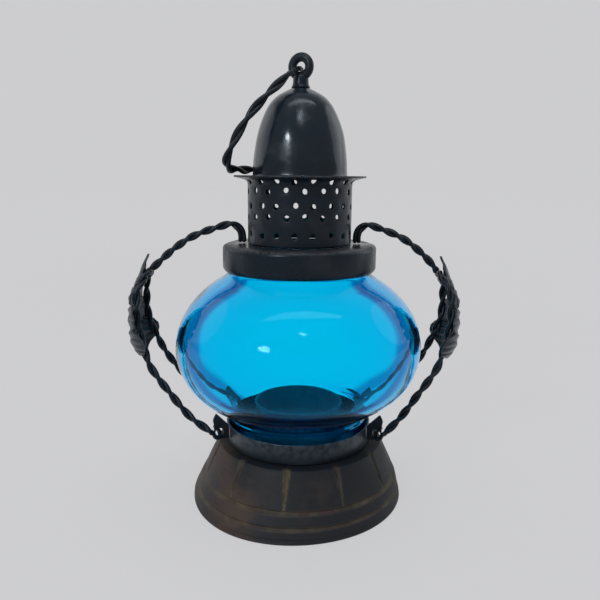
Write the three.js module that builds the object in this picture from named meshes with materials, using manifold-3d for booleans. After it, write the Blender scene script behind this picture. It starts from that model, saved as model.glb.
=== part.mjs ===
// Table lantern for one tealight: turned wooden base, sheet iron base pan, blown glass globe,
// iron cap with a perforated sleeve, lift-off dome lid with a wire bail, and a twisted wire
// frame with a stamped leaf on each side. Millimetres, +Z up, origin under the base's centre.
// The viewer of the front stands at -Y, with +X on the right.
import * as THREE from 'three';
import { mergeVertices } from 'three/addons/utils/BufferGeometryUtils.js';
import Module from 'manifold-3d';

const wasm = await Module();
wasm.setup();

// Clearances
const touchGap = 0.3;          // between two pieces that rest on each other
const roundSteps = 30;         // facets round a large turned piece
const sleeveSteps = 36;        // facets round the sleeve, so that each hole sits in one facet
const smallRoundSteps = 16;    // facets round a small turned piece

// Wooden base
const woodHeight = 29.5;
const woodFootRadius = 52.6;
const woodTopRadius = 40.8;
const ringGrooveHeights = [8.6, 14.6];
const ringGrooveDepth = 0.9;
const ringGrooveHalfWidth = 0.8;
const fluteCount = 11;
const fluteStart = -8;         // degrees from the front, towards +X
const fluteWidth = 2.4;

// Base pan, the iron collar that the globe stands in
const panRadius = 36.1;
const panHeight = 9.7;
const sheet = 0.9;             // wall of all sheet iron pieces

// Candle cup for a 38 mm tealight
const cupRadius = 22.0;
const cupHeight = 16.0;

// Wood screw through cup and pan
const screwShankRadius = 2.0;
const screwHeadRadius = 4.2;
const screwHeadHeight = 2.2;
const screwLength = 17.0;

// Glass globe
const globeRadius = 60.3;      // at its widest
const globeHalfHeight = 43.0;  // of the ellipse that the body follows
const glassWall = 3.2;
const footPlay = 1.2;          // from the pan's inner wall to the globe's straight foot
const footRise = 3.1;          // from the pan's top to where the body begins
const neckLength = 13.6;       // from the body's top to the open end
const bodyFillet = 1.2;        // how much wider than the neck the body begins

// Cap on the globe's neck
const capPlay = 1.9;           // from the globe's neck to the cap's inner wall
const capDepth = 12.5;
const capShoulder = 3.2;
const capHeadroom = 0.8;       // between the neck's end and the cap's plate

// Perforated sleeve with a flared brim
const sleeveRadius = 24.7;
const sleeveHeight = 31.7;
const brimReach = 6.6;         // from the sleeve's side out to the brim's edge
const flareHeight = 5.6;
const flareTurn = 80;          // degrees, from upright to the brim's edge
const holesPerRow = 18;
const holeRadius = 1.35;
const holeRowShares = [0.208, 0.423, 0.58, 0.785, 0.934];   // of the sleeve's height
const holeRowTurns = [15, 5, 15, 5, 15];                    // degrees, each row against the next

// Dome lid
const domeHeight = 40.0;
const lipReach = 1.2;          // from the sleeve's side out to the lip's edge
const lipWidth = 3.7;          // from the lip's edge in to the dome's side
const lipDrop = 0.9;           // from the brim's edge down to the lip's top

// Eye on the dome
const eyeRadius = 4.55;        // to the middle of the ring's rod
const eyeRod = 1.75;           // radius of the rod
const neckRadius = 3.3;
const neckHeight = 3.6;
const tangRadius = 2.2;
const eyeSink = 0.6;           // how far the ring is let into the neck
const eyeTurn = 25;            // degrees, how far the ring is turned about Z

// Bail, a closed loop of two wires twisted together
const bailWire = 1.2;          // radius of one wire
const bailHalfWidth = 26.7;
const bailPlay = 2.8;          // between the dome's side and the loop's foot, at rest
const bailTwists = 6;          // whole turns round the loop
const bailStep = 3.0;
const bailSingle = 4.0;        // length of single wire each way from the eye
const pairOpening = 4.5;       // length over which a single wire becomes a pair
// half of the loop's outline, as shares of its half width and of its length down from the eye
const bailOutline = [
  [0.135, 0.036], [0.277, 0.086], [0.397, 0.15], [0.569, 0.243], [0.723, 0.346], [0.873, 0.46],
  [0.974, 0.62], [1, 0.781], [0.948, 0.912], [0.764, 0.985], [0.39, 0.998],
];

// Side frames of twisted wire
const armWire = 1.05;          // radius of one wire
const leftPlay = 18.0;         // from the globe's widest to the frame's outermost run
const rightPlay = 13.4;
const hoopHalfWidth = 17.0;    // of the inverted U that carries the leaf
const hoopTopDrop = 14.3;      // from the cap's top down to the hoop's top
const hoopTopLean = 5.6;       // how far in from the reach the hoop's top lies
const hookSize = 2.6;          // how far the hook stands off the ear
const hookSingle = 8.8;        // length of single wire at the hook
const upperHalfTwist = 7.7;
const lowerHalfTwist = 9.0;
const legPlay = 0.9;           // between the sleeve's wall and the arm's leg
const legStraight = 7.0;       // length of the leg before the twist begins
const archRun = 4.9;           // from the leg out to the arch's crown
const archRise = 9.1;          // from the cap's top up to the crown

// Ears on the pan that the frames hook into
const earAngle = 22;           // degrees from the X axis
const earThickness = 1.0;
const earReach = 8.2;
const earHoleRadius = 2.0;
const earHoleDrop = 2.3;       // from the pan's top down to the hole's centre
const earHoleShare = 0.62;     // of the ear's reach, where the hole is

// Stamped leaf
const leafSheet = 0.9;
const leafHalfWidth = 21.5;
const leafLength = 49.4;
const leafTipDrop = 5.7;       // from the cap's top down to the leaf's tip

// Places that follow from the sizes above
const panFloor = woodHeight + touchGap;
const panTop = panFloor + panHeight;
const cupFloor = panFloor + sheet + touchGap;
const screwSeat = cupFloor + sheet + touchGap;
const globeFoot = panFloor + sheet + touchGap;
const globeMouthRadius = panRadius - sheet - footPlay;
const bodyEdge = globeHalfHeight * Math.sqrt(1 - ((globeMouthRadius + bodyFillet) / globeRadius) ** 2);
const globeCentre = panTop + footRise + bodyEdge;
const globeNeckTop = globeCentre + bodyEdge + neckLength;
const capRadius = globeMouthRadius + capPlay + sheet;
const capTop = globeNeckTop + capHeadroom + sheet;
const sleeveFoot = capTop + touchGap;
const brimTop = sleeveFoot + sleeveHeight;
const domeFoot = brimTop - lipDrop;
const domeTop = domeFoot + domeHeight;
const domeLip = sleeveRadius + lipReach;
const domeRadius = domeLip - lipWidth;
const eyeCentre = domeTop + touchGap + neckHeight + eyeRadius + eyeRod - eyeSink;
const bailFoot = [domeRadius + 2 * bailWire + bailPlay, brimTop + 2 * bailWire + touchGap];
const sleeveBore = sleeveRadius - sheet;
const leftReach = globeRadius + leftPlay;
const rightReach = globeRadius + rightPlay;
const hoopTopHeight = capTop - hoopTopDrop;
const earHole = [panRadius + earReach * earHoleShare, panTop - earHoleDrop];

// Finishes
const blackIron = { color: 0x1f2328, roughness: 0.42, metalness: 0.55 };
const wireIron = { color: 0x22252a, roughness: 0.5, metalness: 0.5 };
const leafIron = { color: 0x24282c, roughness: 0.48, metalness: 0.5 };
const darkWood = { color: 0x3b322b, roughness: 0.7, metalness: 0 };
const blueGlass = { color: 0x06a4dc, roughness: 0.05, metalness: 0 };
const plainSteel = { color: 0x8a8c8e, roughness: 0.4, metalness: 0.9 };

const lantern = new THREE.Group();

function addPiece(name, geometry, finish) {
  const mesh = new THREE.Mesh(geometry, new THREE.MeshStandardMaterial(finish));
  mesh.name = name;
  lantern.add(mesh);
}

// Closed geometry with shared vertices, no flat triangles and its faces pointing out
function tidy(geometry) {
  const bare = geometry.clone();
  bare.deleteAttribute('normal');
  bare.deleteAttribute('uv');
  const merged = mergeVertices(bare, 1e-4);
  const index = Array.from(merged.index.array);
  const place = merged.attributes.position;
  const corner = [new THREE.Vector3(), new THREE.Vector3(), new THREE.Vector3()];
  const kept = [];
  let volume = 0;
  for (let i = 0; i < index.length; i += 3) {
    const [a, b, c] = index.slice(i, i + 3);
    if (a === b || b === c || a === c) continue;
    [a, b, c].forEach((vertex, k) => corner[k].fromBufferAttribute(place, vertex));
    volume += corner[0].dot(corner[1].clone().cross(corner[2]));
    kept.push(a, b, c);
  }
  if (volume < 0) kept.reverse();
  merged.setIndex(kept);
  return merged;
}

function toSolid(geometry) {
  const closed = tidy(geometry);
  return new wasm.Manifold(new wasm.Mesh({
    numProp: 3,
    vertProperties: new Float32Array(closed.attributes.position.array),
    triVerts: new Uint32Array(closed.index.array),
  }));
}

function fromSolid(solid) {
  const mesh = solid.getMesh();
  const geometry = new THREE.BufferGeometry();
  geometry.setAttribute('position', new THREE.BufferAttribute(mesh.vertProperties, 3));
  geometry.setIndex(new THREE.BufferAttribute(mesh.triVerts, 1));
  return geometry;
}

function cut(body, tools) {
  return tools.reduce((rest, tool) => rest.subtract(toSolid(tool)), toSolid(body));
}

// Turned piece from [radius, height] points; a profile off the axis is closed on itself
function turned(points, steps = roundSteps) {
  const profile = points.map(([radius, height]) => new THREE.Vector2(radius, height));
  if (points[0][0] > 0 || points[points.length - 1][0] > 0) profile.push(profile[0].clone());
  return tidy(new THREE.LatheGeometry(profile, steps).rotateX(Math.PI / 2));
}

// Closed profile of a sheet: the outer line, and the same line moved by the wall to one side
function walled(outer, wall) {
  const inner = outer.map((point, i) => {
    const before = outer[Math.max(i - 1, 0)];
    const after = outer[Math.min(i + 1, outer.length - 1)];
    const run = [after[0] - before[0], after[1] - before[1]];
    const size = Math.hypot(run[0], run[1]);
    return [point[0] - run[1] / size * wall, point[1] + run[0] / size * wall];
  });
  return [...outer, ...inner.reverse()];
}

function radians(degrees) {
  return degrees * Math.PI / 180;
}

// Places a piece made in the plane of radius and height at an angle round the axis
function turnTo(geometry, degrees) {
  return geometry.rotateZ(radians(degrees));
}

// Outline of two round wires side by side, `apart` from the middle; one wire where it is small
function pairOutline(wire, apart) {
  const waist = wire - 0.55 * apart;
  const half = [
    [wire + apart, 0], [0.3 * wire + 0.85 * apart, 0.95 * wire], [0, waist],
    [-0.3 * wire - 0.85 * apart, 0.95 * wire],
  ];
  return [...half, ...half.map(([x, y]) => [-x, -y])];
}

// Two wires along a curve: the outline turns by twist(s) and opens by spread(s), s from 0 to 1
function twistedPair(curve, wire, steps, twist, spread, closed = false) {
  const frames = curve.computeFrenetFrames(steps, closed);
  const rings = closed ? steps : steps + 1;
  const positions = [];
  const faces = [];
  const count = pairOutline(wire, wire).length;
  for (let i = 0; i < rings; i += 1) {
    const s = i / steps;
    const centre = curve.getPointAt(s);
    const angle = twist(s);
    for (const [x, y] of pairOutline(wire, wire * Math.max(spread(s), 0.08))) {
      const across = x * Math.cos(angle) - y * Math.sin(angle);
      const along = x * Math.sin(angle) + y * Math.cos(angle);
      const point = centre.clone()
        .addScaledVector(frames.normals[i], across)
        .addScaledVector(frames.binormals[i], along);
      positions.push(point.x, point.y, point.z);
    }
  }
  const bands = closed ? rings : rings - 1;
  for (let i = 0; i < bands; i += 1) {
    const here = i * count;
    const next = ((i + 1) % rings) * count;
    for (let k = 0; k < count; k += 1) {
      const other = (k + 1) % count;
      faces.push(here + k, here + other, next + k);
      faces.push(here + other, next + other, next + k);
    }
  }
  if (!closed) {
    for (const [ring, flip] of [[0, true], [rings - 1, false]]) {
      const middle = curve.getPointAt(ring / steps);
      const centre = positions.length / 3;
      positions.push(middle.x, middle.y, middle.z);
      for (let k = 0; k < count; k += 1) {
        const a = ring * count + k;
        const b = ring * count + (k + 1) % count;
        faces.push(centre, ...(flip ? [b, a] : [a, b]));
      }
    }
  }
  const geometry = new THREE.BufferGeometry();
  geometry.setAttribute('position', new THREE.Float32BufferAttribute(positions, 3));
  geometry.setIndex(faces);
  return tidy(geometry);
}

function smoothstep(edge0, edge1, value) {
  const t = Math.min(Math.max((value - edge0) / (edge1 - edge0), 0), 1);
  return t * t * (3 - 2 * t);
}

// Wooden base: a bell-like cone with two turned rings and carved flutes up to the top
function woodSideRadius(height) {
  const share = height / woodHeight;
  return woodFootRadius - (woodFootRadius - woodTopRadius) * (0.25 * share + 0.75 * share ** 1.35);
}

function makeWoodBase() {
  const pilotRadius = screwShankRadius + touchGap;
  const pilotFloor = screwSeat - screwLength - touchGap;
  const side = [[woodFootRadius - 1.6, 0], [woodFootRadius - 0.2, 1.4]];
  for (const height of ringGrooveHeights) {
    side.push([woodSideRadius(height - ringGrooveHalfWidth), height - ringGrooveHalfWidth]);
    side.push([woodSideRadius(height) - ringGrooveDepth, height]);
    side.push([woodSideRadius(height + ringGrooveHalfWidth), height + ringGrooveHalfWidth]);
  }
  side.push([woodSideRadius(woodHeight * 0.7), woodHeight * 0.7]);
  side.push([woodSideRadius(woodHeight - 0.8), woodHeight - 0.8]);
  side.push([woodTopRadius - 0.8, woodHeight]);
  const body = turned([
    [0, 0], ...side, [pilotRadius, woodHeight], [pilotRadius, pilotFloor], [0, pilotFloor],
  ]);
  const low = ringGrooveHeights[1] + ringGrooveHalfWidth;
  const high = woodHeight + 1;
  const rise = high - low;
  const run = woodSideRadius(low) - woodSideRadius(woodHeight);
  const flute = new THREE.CylinderGeometry(fluteWidth / 2, fluteWidth / 2, Math.hypot(rise, run), 4);
  flute.rotateX(Math.PI / 2).rotateY(-Math.atan2(run, rise));
  flute.translate((woodSideRadius(low) + woodSideRadius(woodHeight)) / 2 + 0.3, 0, (low + high) / 2);
  const flutes = [];
  for (let i = 0; i < fluteCount; i += 1) {
    flutes.push(turnTo(flute.clone(), -90 + fluteStart + i * 360 / fluteCount));
  }
  return fromSolid(cut(body, flutes));
}

function makeBasePan() {
  const hole = screwShankRadius + touchGap;
  return turned([
    [hole, panFloor], [panRadius - 0.6, panFloor], [panRadius, panFloor + 0.6],
    [panRadius, panTop - 0.3], [panRadius - 0.3, panTop], [panRadius - sheet, panTop],
    [panRadius - sheet, panFloor + sheet], [hole, panFloor + sheet],
  ]);
}

function makeCandleCup() {
  const hole = screwShankRadius + touchGap;
  const top = cupFloor + cupHeight;
  return turned([
    [hole, cupFloor], [cupRadius - 0.5, cupFloor], [cupRadius, cupFloor + 0.5],
    [cupRadius, top - 1.2], [cupRadius + 0.5, top - 0.5], [cupRadius, top],
    [cupRadius - sheet, top - 0.2], [cupRadius - sheet, cupFloor + sheet],
    [screwHeadRadius + 1, cupFloor + sheet], [hole, cupFloor + sheet],
  ], 28);
}

function makeScrew() {
  const top = screwSeat + screwHeadHeight;
  const tip = screwSeat - screwLength;
  return turned([
    [0, top], [screwHeadRadius * 0.55, top - 0.25], [screwHeadRadius * 0.9, top - 1],
    [screwHeadRadius, screwSeat + 0.5], [screwHeadRadius, screwSeat],
    [screwShankRadius, screwSeat], [screwShankRadius, tip + 3.5], [0, tip],
  ], smallRoundSteps);
}

// Globe: a straight foot and neck, with an ellipse between them, as a wall of even thickness
function makeGlobe() {
  const neckEdge = bodyEdge + 1.6;
  const line = [[globeMouthRadius, globeFoot], [globeMouthRadius, globeCentre - neckEdge]];
  const arcs = 11;
  for (let i = 0; i <= arcs; i += 1) {
    const height = -bodyEdge * Math.cos(Math.PI * i / arcs);
    const radius = globeRadius * Math.sqrt(1 - (height / globeHalfHeight) ** 2);
    line.push([radius, globeCentre + height]);
  }
  line.push([globeMouthRadius, globeCentre + neckEdge], [globeMouthRadius, globeNeckTop]);
  return turned(walled(line, glassWall));
}

// Height of the globe's underside at a distance from the axis
function globeUnderside(radius) {
  return globeCentre - globeHalfHeight * Math.sqrt(Math.max(1 - (radius / globeRadius) ** 2, 0));
}

function makeCap() {
  const bottom = capTop - capDepth;
  const shoulder = [];
  for (let i = 0; i <= 3; i += 1) {
    const angle = radians(90 * i / 3);
    shoulder.push([
      capRadius - capShoulder * (1 - Math.cos(angle)),
      capTop - capShoulder * (1 - Math.sin(angle)),
    ]);
  }
  return turned(walled([[capRadius - 0.2, bottom], ...shoulder, [sleeveBore, capTop]], sheet));
}

// Height of the sleeve's outer side, from its foot to the thin edge of the flared brim
function sleeveLine() {
  const flare = [];
  const full = radians(flareTurn);
  for (let i = 0; i <= 4; i += 1) {
    const angle = full * i / 4;
    flare.push([
      sleeveRadius + brimReach * (1 - Math.cos(angle)) / (1 - Math.cos(full)),
      brimTop - sheet - flareHeight * (1 - Math.sin(angle) / Math.sin(full)),
    ]);
  }
  return [[sleeveRadius, sleeveFoot], ...flare];
}

function makeSleeve() {
  const body = turned(walled(sleeveLine(), sheet), sleeveSteps);
  const punches = [];
  holeRowShares.forEach((share, row) => {
    for (let i = 0; i < holesPerRow; i += 1) {
      const punch = new THREE.CylinderGeometry(holeRadius, holeRadius, 2 * brimReach, 6);
      punch.rotateZ(Math.PI / 2).translate(sleeveRadius, 0, sleeveFoot + share * sleeveHeight);
      punches.push(turnTo(punch, -90 + holeRowTurns[row] + i * 360 / holesPerRow));
    }
  });
  return fromSolid(cut(body, punches));
}

// Dome: a lip in the brim, nearly straight sides and a bullet-shaped crown
function makeDome() {
  const crown = [
    [1, 0.06], [0.99, 0.18], [0.95, 0.36], [0.91, 0.48], [0.845, 0.6],
    [0.752, 0.7225], [0.64, 0.83], [0.5, 0.91], [0.34, 0.963],
  ];
  const line = [[domeLip, domeFoot], [domeRadius + 1, domeFoot], [domeRadius + 0.3, domeFoot + 0.6]];
  for (const [across, up] of crown) line.push([domeRadius * across, domeFoot + domeHeight * up]);
  line.push([neckRadius + 1.5, domeTop], [tangRadius + touchGap, domeTop]);
  return turned(walled(line, sheet));
}

// Eye: a ring on a short neck, with a tang through the dome and a peened head inside
function makeEye() {
  const neckFoot = domeTop + touchGap;
  const headTop = domeTop - sheet - touchGap;
  const neckTop = neckFoot + neckHeight;
  const stem = turned([
    [0, headTop - 1.4], [tangRadius + 1.0, headTop - 1.2], [tangRadius + 1.2, headTop],
    [tangRadius, headTop], [tangRadius, neckFoot], [neckRadius + 0.9, neckFoot],
    [neckRadius, neckFoot + 1.2], [neckRadius - 0.3, neckTop], [0, neckTop],
  ], smallRoundSteps);
  const ring = new THREE.TorusGeometry(eyeRadius, eyeRod, 8, 20);
  ring.rotateX(Math.PI / 2).rotateZ(radians(-eyeTurn)).translate(0, 0, eyeCentre);
  return fromSolid(toSolid(stem).add(toSolid(ring)));
}

// Bail: a stirrup-shaped loop through the eye, one wire in the eye and a twisted pair elsewhere
function makeBail() {
  const upward = new THREE.Vector3(0, 0, 1);
  const across = new THREE.Vector3(0, -1, 0).applyAxisAngle(upward, radians(-eyeTurn));
  const out = new THREE.Vector3(-1, 0, 0).applyAxisAngle(upward, radians(-eyeTurn));
  const eye = new THREE.Vector3(0, 0, eyeCentre);
  const [footRadius, footHeight] = bailFoot;
  const down = out.multiplyScalar(footRadius).addScaledVector(upward, footHeight - eyeCentre);
  const bailLength = down.length();
  down.normalize();
  const place = (q, v) => eye.clone()
    .addScaledVector(across, q * bailHalfWidth)
    .addScaledVector(down, v * bailLength);
  const points = [
    eye.clone().addScaledVector(down, eyeRadius - eyeRod - bailWire - touchGap),
    ...bailOutline.map(([q, v]) => place(q, v)),
    place(0, 1),
    ...bailOutline.map(([q, v]) => place(-q, v)).reverse(),
  ];
  const curve = new THREE.CatmullRomCurve3(points, true, 'centripetal');
  const length = curve.getLength();
  const opens = (s) => smoothstep(bailSingle, bailSingle + pairOpening, Math.min(s, 1 - s) * length);
  const steps = Math.round(length / bailStep);
  return twistedPair(curve, bailWire, steps, (s) => 2 * Math.PI * bailTwists * s, opens, true);
}

// Upper arm, drawn for the right side: a leg on the cap by the sleeve, an arch, and a long
// sweep out and down to the hoop. The sweep's points are shares of the way from the crown out to
// the frame's reach, and of the fall from the crown to the hoop.
function upperArmPoints(reach) {
  const leg = sleeveRadius + 2 * armWire + legPlay;
  const crown = leg + archRun;
  const sweep = [
    [0, 0], [0.13, 0.07], [0.29, 0.18], [0.42, 0.296], [0.53, 0.44], [0.65, 0.63], [0.755, 0.829],
  ];
  const end = hoopTopPoint(reach);
  const seat = 2 * armWire + 1.2 * touchGap;
  end.x -= seat * Math.cos(radians(48));
  end.z += seat * Math.sin(radians(48));
  const crownTop = capTop + archRise;
  return [
    new THREE.Vector3(leg, 0, capTop + touchGap),
    new THREE.Vector3(leg, 0, capTop + 0.33 * archRise),
    new THREE.Vector3(leg + 0.22 * archRun, 0, capTop + 0.73 * archRise),
    ...sweep.map(([share, fall]) => new THREE.Vector3(
      crown + (reach - crown) * share, 0, crownTop - (crownTop - end.z) * fall,
    )),
    end,
  ];
}

function hoopTopPoint(reach) {
  return new THREE.Vector3(reach - hoopTopLean, 0, hoopTopHeight);
}

function makeUpperArm(side, reach) {
  const points = upperArmPoints(reach).map((point) => point.setX(point.x * side));
  const curve = new THREE.CatmullRomCurve3(points, false, 'centripetal');
  const length = curve.getLength();
  const steps = Math.round(length / (upperHalfTwist / 4));
  const twist = (s) => side * Math.PI / upperHalfTwist * Math.max(s * length - legStraight, 0);
  return twistedPair(curve, armWire, steps, twist, () => 1);
}

// Half of the hoop, drawn for the right side at the front: from the hook in the ear up to the
// top. The hook's points are [out, across, up] from the ear's hole, in multiples of its size.
// The climb's points are shares of the way up to the bend, and out to the frame's reach.
function hoopHalf(reach) {
  const ear = radians(earAngle);
  const [holeAt, holeHeight] = earHole;
  const hook = [[0.54, -1, 0.69], [0.08, -0.77, 0.15], [0, 0, 0], [0.35, 0.92, -0.12], [1.54, 1, 0.81]];
  const hookPoints = hook.map(([out, off, up]) => {
    const radius = holeAt + out * hookSize;
    const across = off * hookSize;
    return new THREE.Vector3(
      radius * Math.cos(ear) - across * Math.sin(ear),
      -radius * Math.sin(ear) - across * Math.cos(ear),
      holeHeight + up * hookSize,
    );
  });
  const climb = [
    [0.114, 0.19], [0.22, 0.335], [0.325, 0.485], [0.439, 0.62],
    [0.554, 0.74], [0.677, 0.85], [0.8, 0.94], [0.923, 0.995],
  ];
  const top = hoopTopPoint(reach);
  const bendFoot = top.z - hoopHalfWidth;
  const climbFoot = holeAt + 0.54 * hookSize;
  const leg = climb.map(([up, out]) => new THREE.Vector3(
    climbFoot + (reach - climbFoot) * out, -hoopHalfWidth, panTop + (bendFoot - panTop) * up,
  ));
  const bend = [0, 22, 45, 68].map((degrees) => {
    const rise = Math.sin(radians(degrees));
    return new THREE.Vector3(
      reach - (reach - top.x) * rise ** 3, -hoopHalfWidth * Math.cos(radians(degrees)),
      bendFoot + hoopHalfWidth * rise,
    );
  });
  return [...hookPoints, ...leg, ...bend];
}

function makeHoop(side, reach) {
  const front = hoopHalf(reach);
  const back = hoopHalf(reach).map((point) => point.setY(-point.y)).reverse();
  const points = [...front, hoopTopPoint(reach), ...back].map((point) => point.setX(point.x * side));
  const curve = new THREE.CatmullRomCurve3(points, false, 'centripetal');
  const length = curve.getLength();
  const steps = Math.round(length / (lowerHalfTwist / 4));
  const opens = (s) => smoothstep(hookSingle, hookSingle + pairOpening, Math.min(s, 1 - s) * length);
  return twistedPair(curve, armWire, steps, (s) => Math.PI / lowerHalfTwist * s * length, opens);
}

// Ear: an upright sheet plate, radial to the pan, with a hole for the frame's hook. Its upper
// side reaches a share of the way from the pan's top up to the globe's underside.
function makeEar(degrees) {
  const root = panRadius + touchGap;
  const tip = panRadius + earReach;
  const under = (radius, share) => panTop + share * (globeUnderside(radius) - touchGap - panTop);
  const outline = new THREE.Shape();
  outline.moveTo(root, earHole[1] - earHoleRadius - 2.0);
  outline.lineTo(tip - 2.2, earHole[1] - earHoleRadius - 1.2);
  outline.lineTo(tip - 0.4, earHole[1] - 1.3);
  outline.lineTo(tip - 0.6, earHole[1] + 2.9);
  outline.lineTo(tip, under(tip, 0.49));
  outline.lineTo(tip - 1.6, under(tip - 1.6, 1));
  outline.lineTo(root + 1.2, under(root + 1.2, 0.49));
  outline.lineTo(root, under(root, 0.18));
  const hole = new THREE.Path();
  hole.absarc(...earHole, earHoleRadius, 0, 2 * Math.PI, true);
  outline.holes.push(hole);
  const plate = new THREE.ExtrudeGeometry(outline, {
    depth: earThickness, bevelEnabled: false, curveSegments: 3,
  });
  plate.rotateX(Math.PI / 2).translate(0, earThickness / 2, 0);
  return tidy(turnTo(plate, degrees));
}

// Leaf, drawn for the right side: a lobed sheet, cupped towards the globe and pointed at the top.
// Each row is a share of the length, then the half width, the rib beyond the hoop's wires and
// the depth of the cup as shares of the leaf's half width.
const leafRows = [
  [0, 0.22, -0.019, 0.047], [0.04, 0.62, 0.028, 0.14], [0.1, 0.92, 0.088, 0.33],
  [0.17, 1, 0.138, 0.39], [0.24, 0.88, 0.158, 0.22], [0.31, 0.62, 0.165, 0.08],
  [0.38, 0.86, 0.135, 0.12], [0.45, 0.93, 0.118, 0.14], [0.51, 0.74, 0.118, 0.06],
  [0.57, 0.45, 0.093, 0.03], [0.63, 0.62, 0.07, 0.03], [0.69, 0.58, 0.037, 0.05],
  [0.76, 0.36, -0.04, 0.05], [0.83, 0.3, -0.112, 0.06], [0.9, 0.12, -0.177, 0.02],
  [1, 0.025, -0.289, 0.005],
];

function makeLeaf(side, reach) {
  const columns = 10;
  const foot = capTop - leafTipDrop - leafLength;
  const back = reach + 2 * armWire + touchGap;
  const positions = [];
  const faces = [];
  for (const layer of [1, -1]) {
    for (const [up, width, rib, cup] of leafRows) {
      for (let j = 0; j <= columns; j += 1) {
        const across = Math.sin(radians(90 * (2 * j / columns - 1)));
        const x = back + (rib - cup * across ** 4) * leafHalfWidth + layer * leafSheet / 2;
        positions.push(side * x, across * width * leafHalfWidth, foot + up * leafLength);
      }
    }
  }
  const row = columns + 1;
  const layerSize = row * leafRows.length;
  for (let i = 0; i < leafRows.length - 1; i += 1) {
    for (let j = 0; j < columns; j += 1) {
      const a = i * row + j;
      const quad = [a, a + 1, a + row + 1, a + row];
      faces.push(quad[0], quad[1], quad[2], quad[0], quad[2], quad[3]);
      faces.push(...[quad[0], quad[2], quad[1], quad[0], quad[3], quad[2]].map((v) => v + layerSize));
    }
  }
  const rim = [];
  for (let j = 0; j < columns; j += 1) rim.push(j);
  for (let i = 0; i < leafRows.length - 1; i += 1) rim.push(i * row + columns);
  for (let j = columns; j > 0; j -= 1) rim.push((leafRows.length - 1) * row + j);
  for (let i = leafRows.length - 1; i > 0; i -= 1) rim.push(i * row);
  rim.forEach((a, k) => {
    const b = rim[(k + 1) % rim.length];
    faces.push(a, a + layerSize, b, b, a + layerSize, b + layerSize);
  });
  const geometry = new THREE.BufferGeometry();
  geometry.setAttribute('position', new THREE.Float32BufferAttribute(positions, 3));
  geometry.setIndex(faces);
  return tidy(geometry);
}

addPiece('wood_base', makeWoodBase(), darkWood);
addPiece('base_pan', makeBasePan(), blackIron);
addPiece('candle_cup', makeCandleCup(), blackIron);
addPiece('cup_screw', makeScrew(), plainSteel);
addPiece('glass_globe', makeGlobe(), blueGlass);
addPiece('globe_cap', makeCap(), blackIron);
addPiece('perforated_sleeve', makeSleeve(), blackIron);
addPiece('dome_lid', makeDome(), blackIron);
addPiece('dome_eye', makeEye(), blackIron);
addPiece('bail', makeBail(), wireIron);

const earPlaces = {
  ear_front_right: -earAngle,
  ear_back_right: earAngle,
  ear_front_left: 180 + earAngle,
  ear_back_left: 180 - earAngle,
};
for (const [name, degrees] of Object.entries(earPlaces)) addPiece(name, makeEar(degrees), blackIron);

for (const [name, side, reach] of [['left', -1, leftReach], ['right', 1, rightReach]]) {
  addPiece(`upper_arm_${name}`, makeUpperArm(side, reach), wireIron);
  addPiece(`leaf_hoop_${name}`, makeHoop(side, reach), wireIron);
  addPiece(`leaf_${name}`, makeLeaf(side, reach), leafIron);
}

export default lantern;
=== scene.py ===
"""Tealight table lantern: the visible surfaces and finishes of its pieces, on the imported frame.

Shapes are worked out in millimetres, with +Z up the lantern's axis, the viewer of the front at
-Y and +X on the right. They become metres when a mesh is made.
"""

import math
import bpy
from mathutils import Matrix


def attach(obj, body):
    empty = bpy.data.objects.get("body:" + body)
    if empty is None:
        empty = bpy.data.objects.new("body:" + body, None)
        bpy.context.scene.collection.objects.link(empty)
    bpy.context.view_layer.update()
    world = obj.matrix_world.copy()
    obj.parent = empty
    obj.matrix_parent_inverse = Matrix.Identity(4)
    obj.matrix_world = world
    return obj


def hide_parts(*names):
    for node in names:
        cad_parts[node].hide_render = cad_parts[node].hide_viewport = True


bl_info = {
    "name": "Tealight table lantern",
    "version": (1, 0, 0),
    "blender": (4, 5, 0),
    "location": "3D View > Sidebar > Lantern",
    "description": "Builds the pieces of a table lantern on its packed frame",
    "category": "Add Mesh",
}

from types import SimpleNamespace

import bmesh
import bpy
import numpy as np
from mathutils import Matrix, Vector

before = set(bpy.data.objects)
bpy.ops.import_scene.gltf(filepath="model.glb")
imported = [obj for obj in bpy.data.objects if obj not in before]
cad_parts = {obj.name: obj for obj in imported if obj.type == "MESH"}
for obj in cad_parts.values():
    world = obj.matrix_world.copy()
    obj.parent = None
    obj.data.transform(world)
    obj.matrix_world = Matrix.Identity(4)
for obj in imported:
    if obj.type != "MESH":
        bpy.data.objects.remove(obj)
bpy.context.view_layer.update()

TOUCH = 0.3          # gap between two pieces that rest on each other
SHEET = 0.9          # wall of all sheet iron pieces
SCREW_HOLE = 2.3     # radius of the screw's hole in the wood, the pan and the cup
PILOT_DEPTH = 17.3   # depth of that hole under the screw's head
BODY_STEP = 1.2      # how far outside the neck the globe's body begins
CAP_PLAY = 0.8       # between the globe's neck and the cap's plate
LIP_SEAT = 0.9       # how deep the dome's lip lies in the brim
EYE_NECK = 3.6       # height of the eye's neck
EYE_SINK = 0.6       # how far the eye's ring sinks in its neck
EYE_TURN = math.radians(-25)    # of the eye's ring and the bail about Z, from square to the front
BAIL_PLAY = 2.8      # between the dome's side and the foot of the bail
EAR_DEGREES = 22     # from the side to an ear, towards the front or the back
EAR_REACH = 8.2      # how far an ear stands out from the pan
EAR_HOLE_DROP = 2.3  # how far the ear's hole lies under the pan's top
WIRE_STEP = 0.55     # between two points along a wire
SIDES = (("left", -1), ("right", 1))     # the side frames, and the sign of X there


def length(name, description, millimetres):
    """A size that the user can change, kept in metres."""
    return bpy.props.FloatProperty(
        name=name, description=description, default=millimetres * 0.001, min=0.0,
        unit="LENGTH", precision=4,
    )


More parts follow.
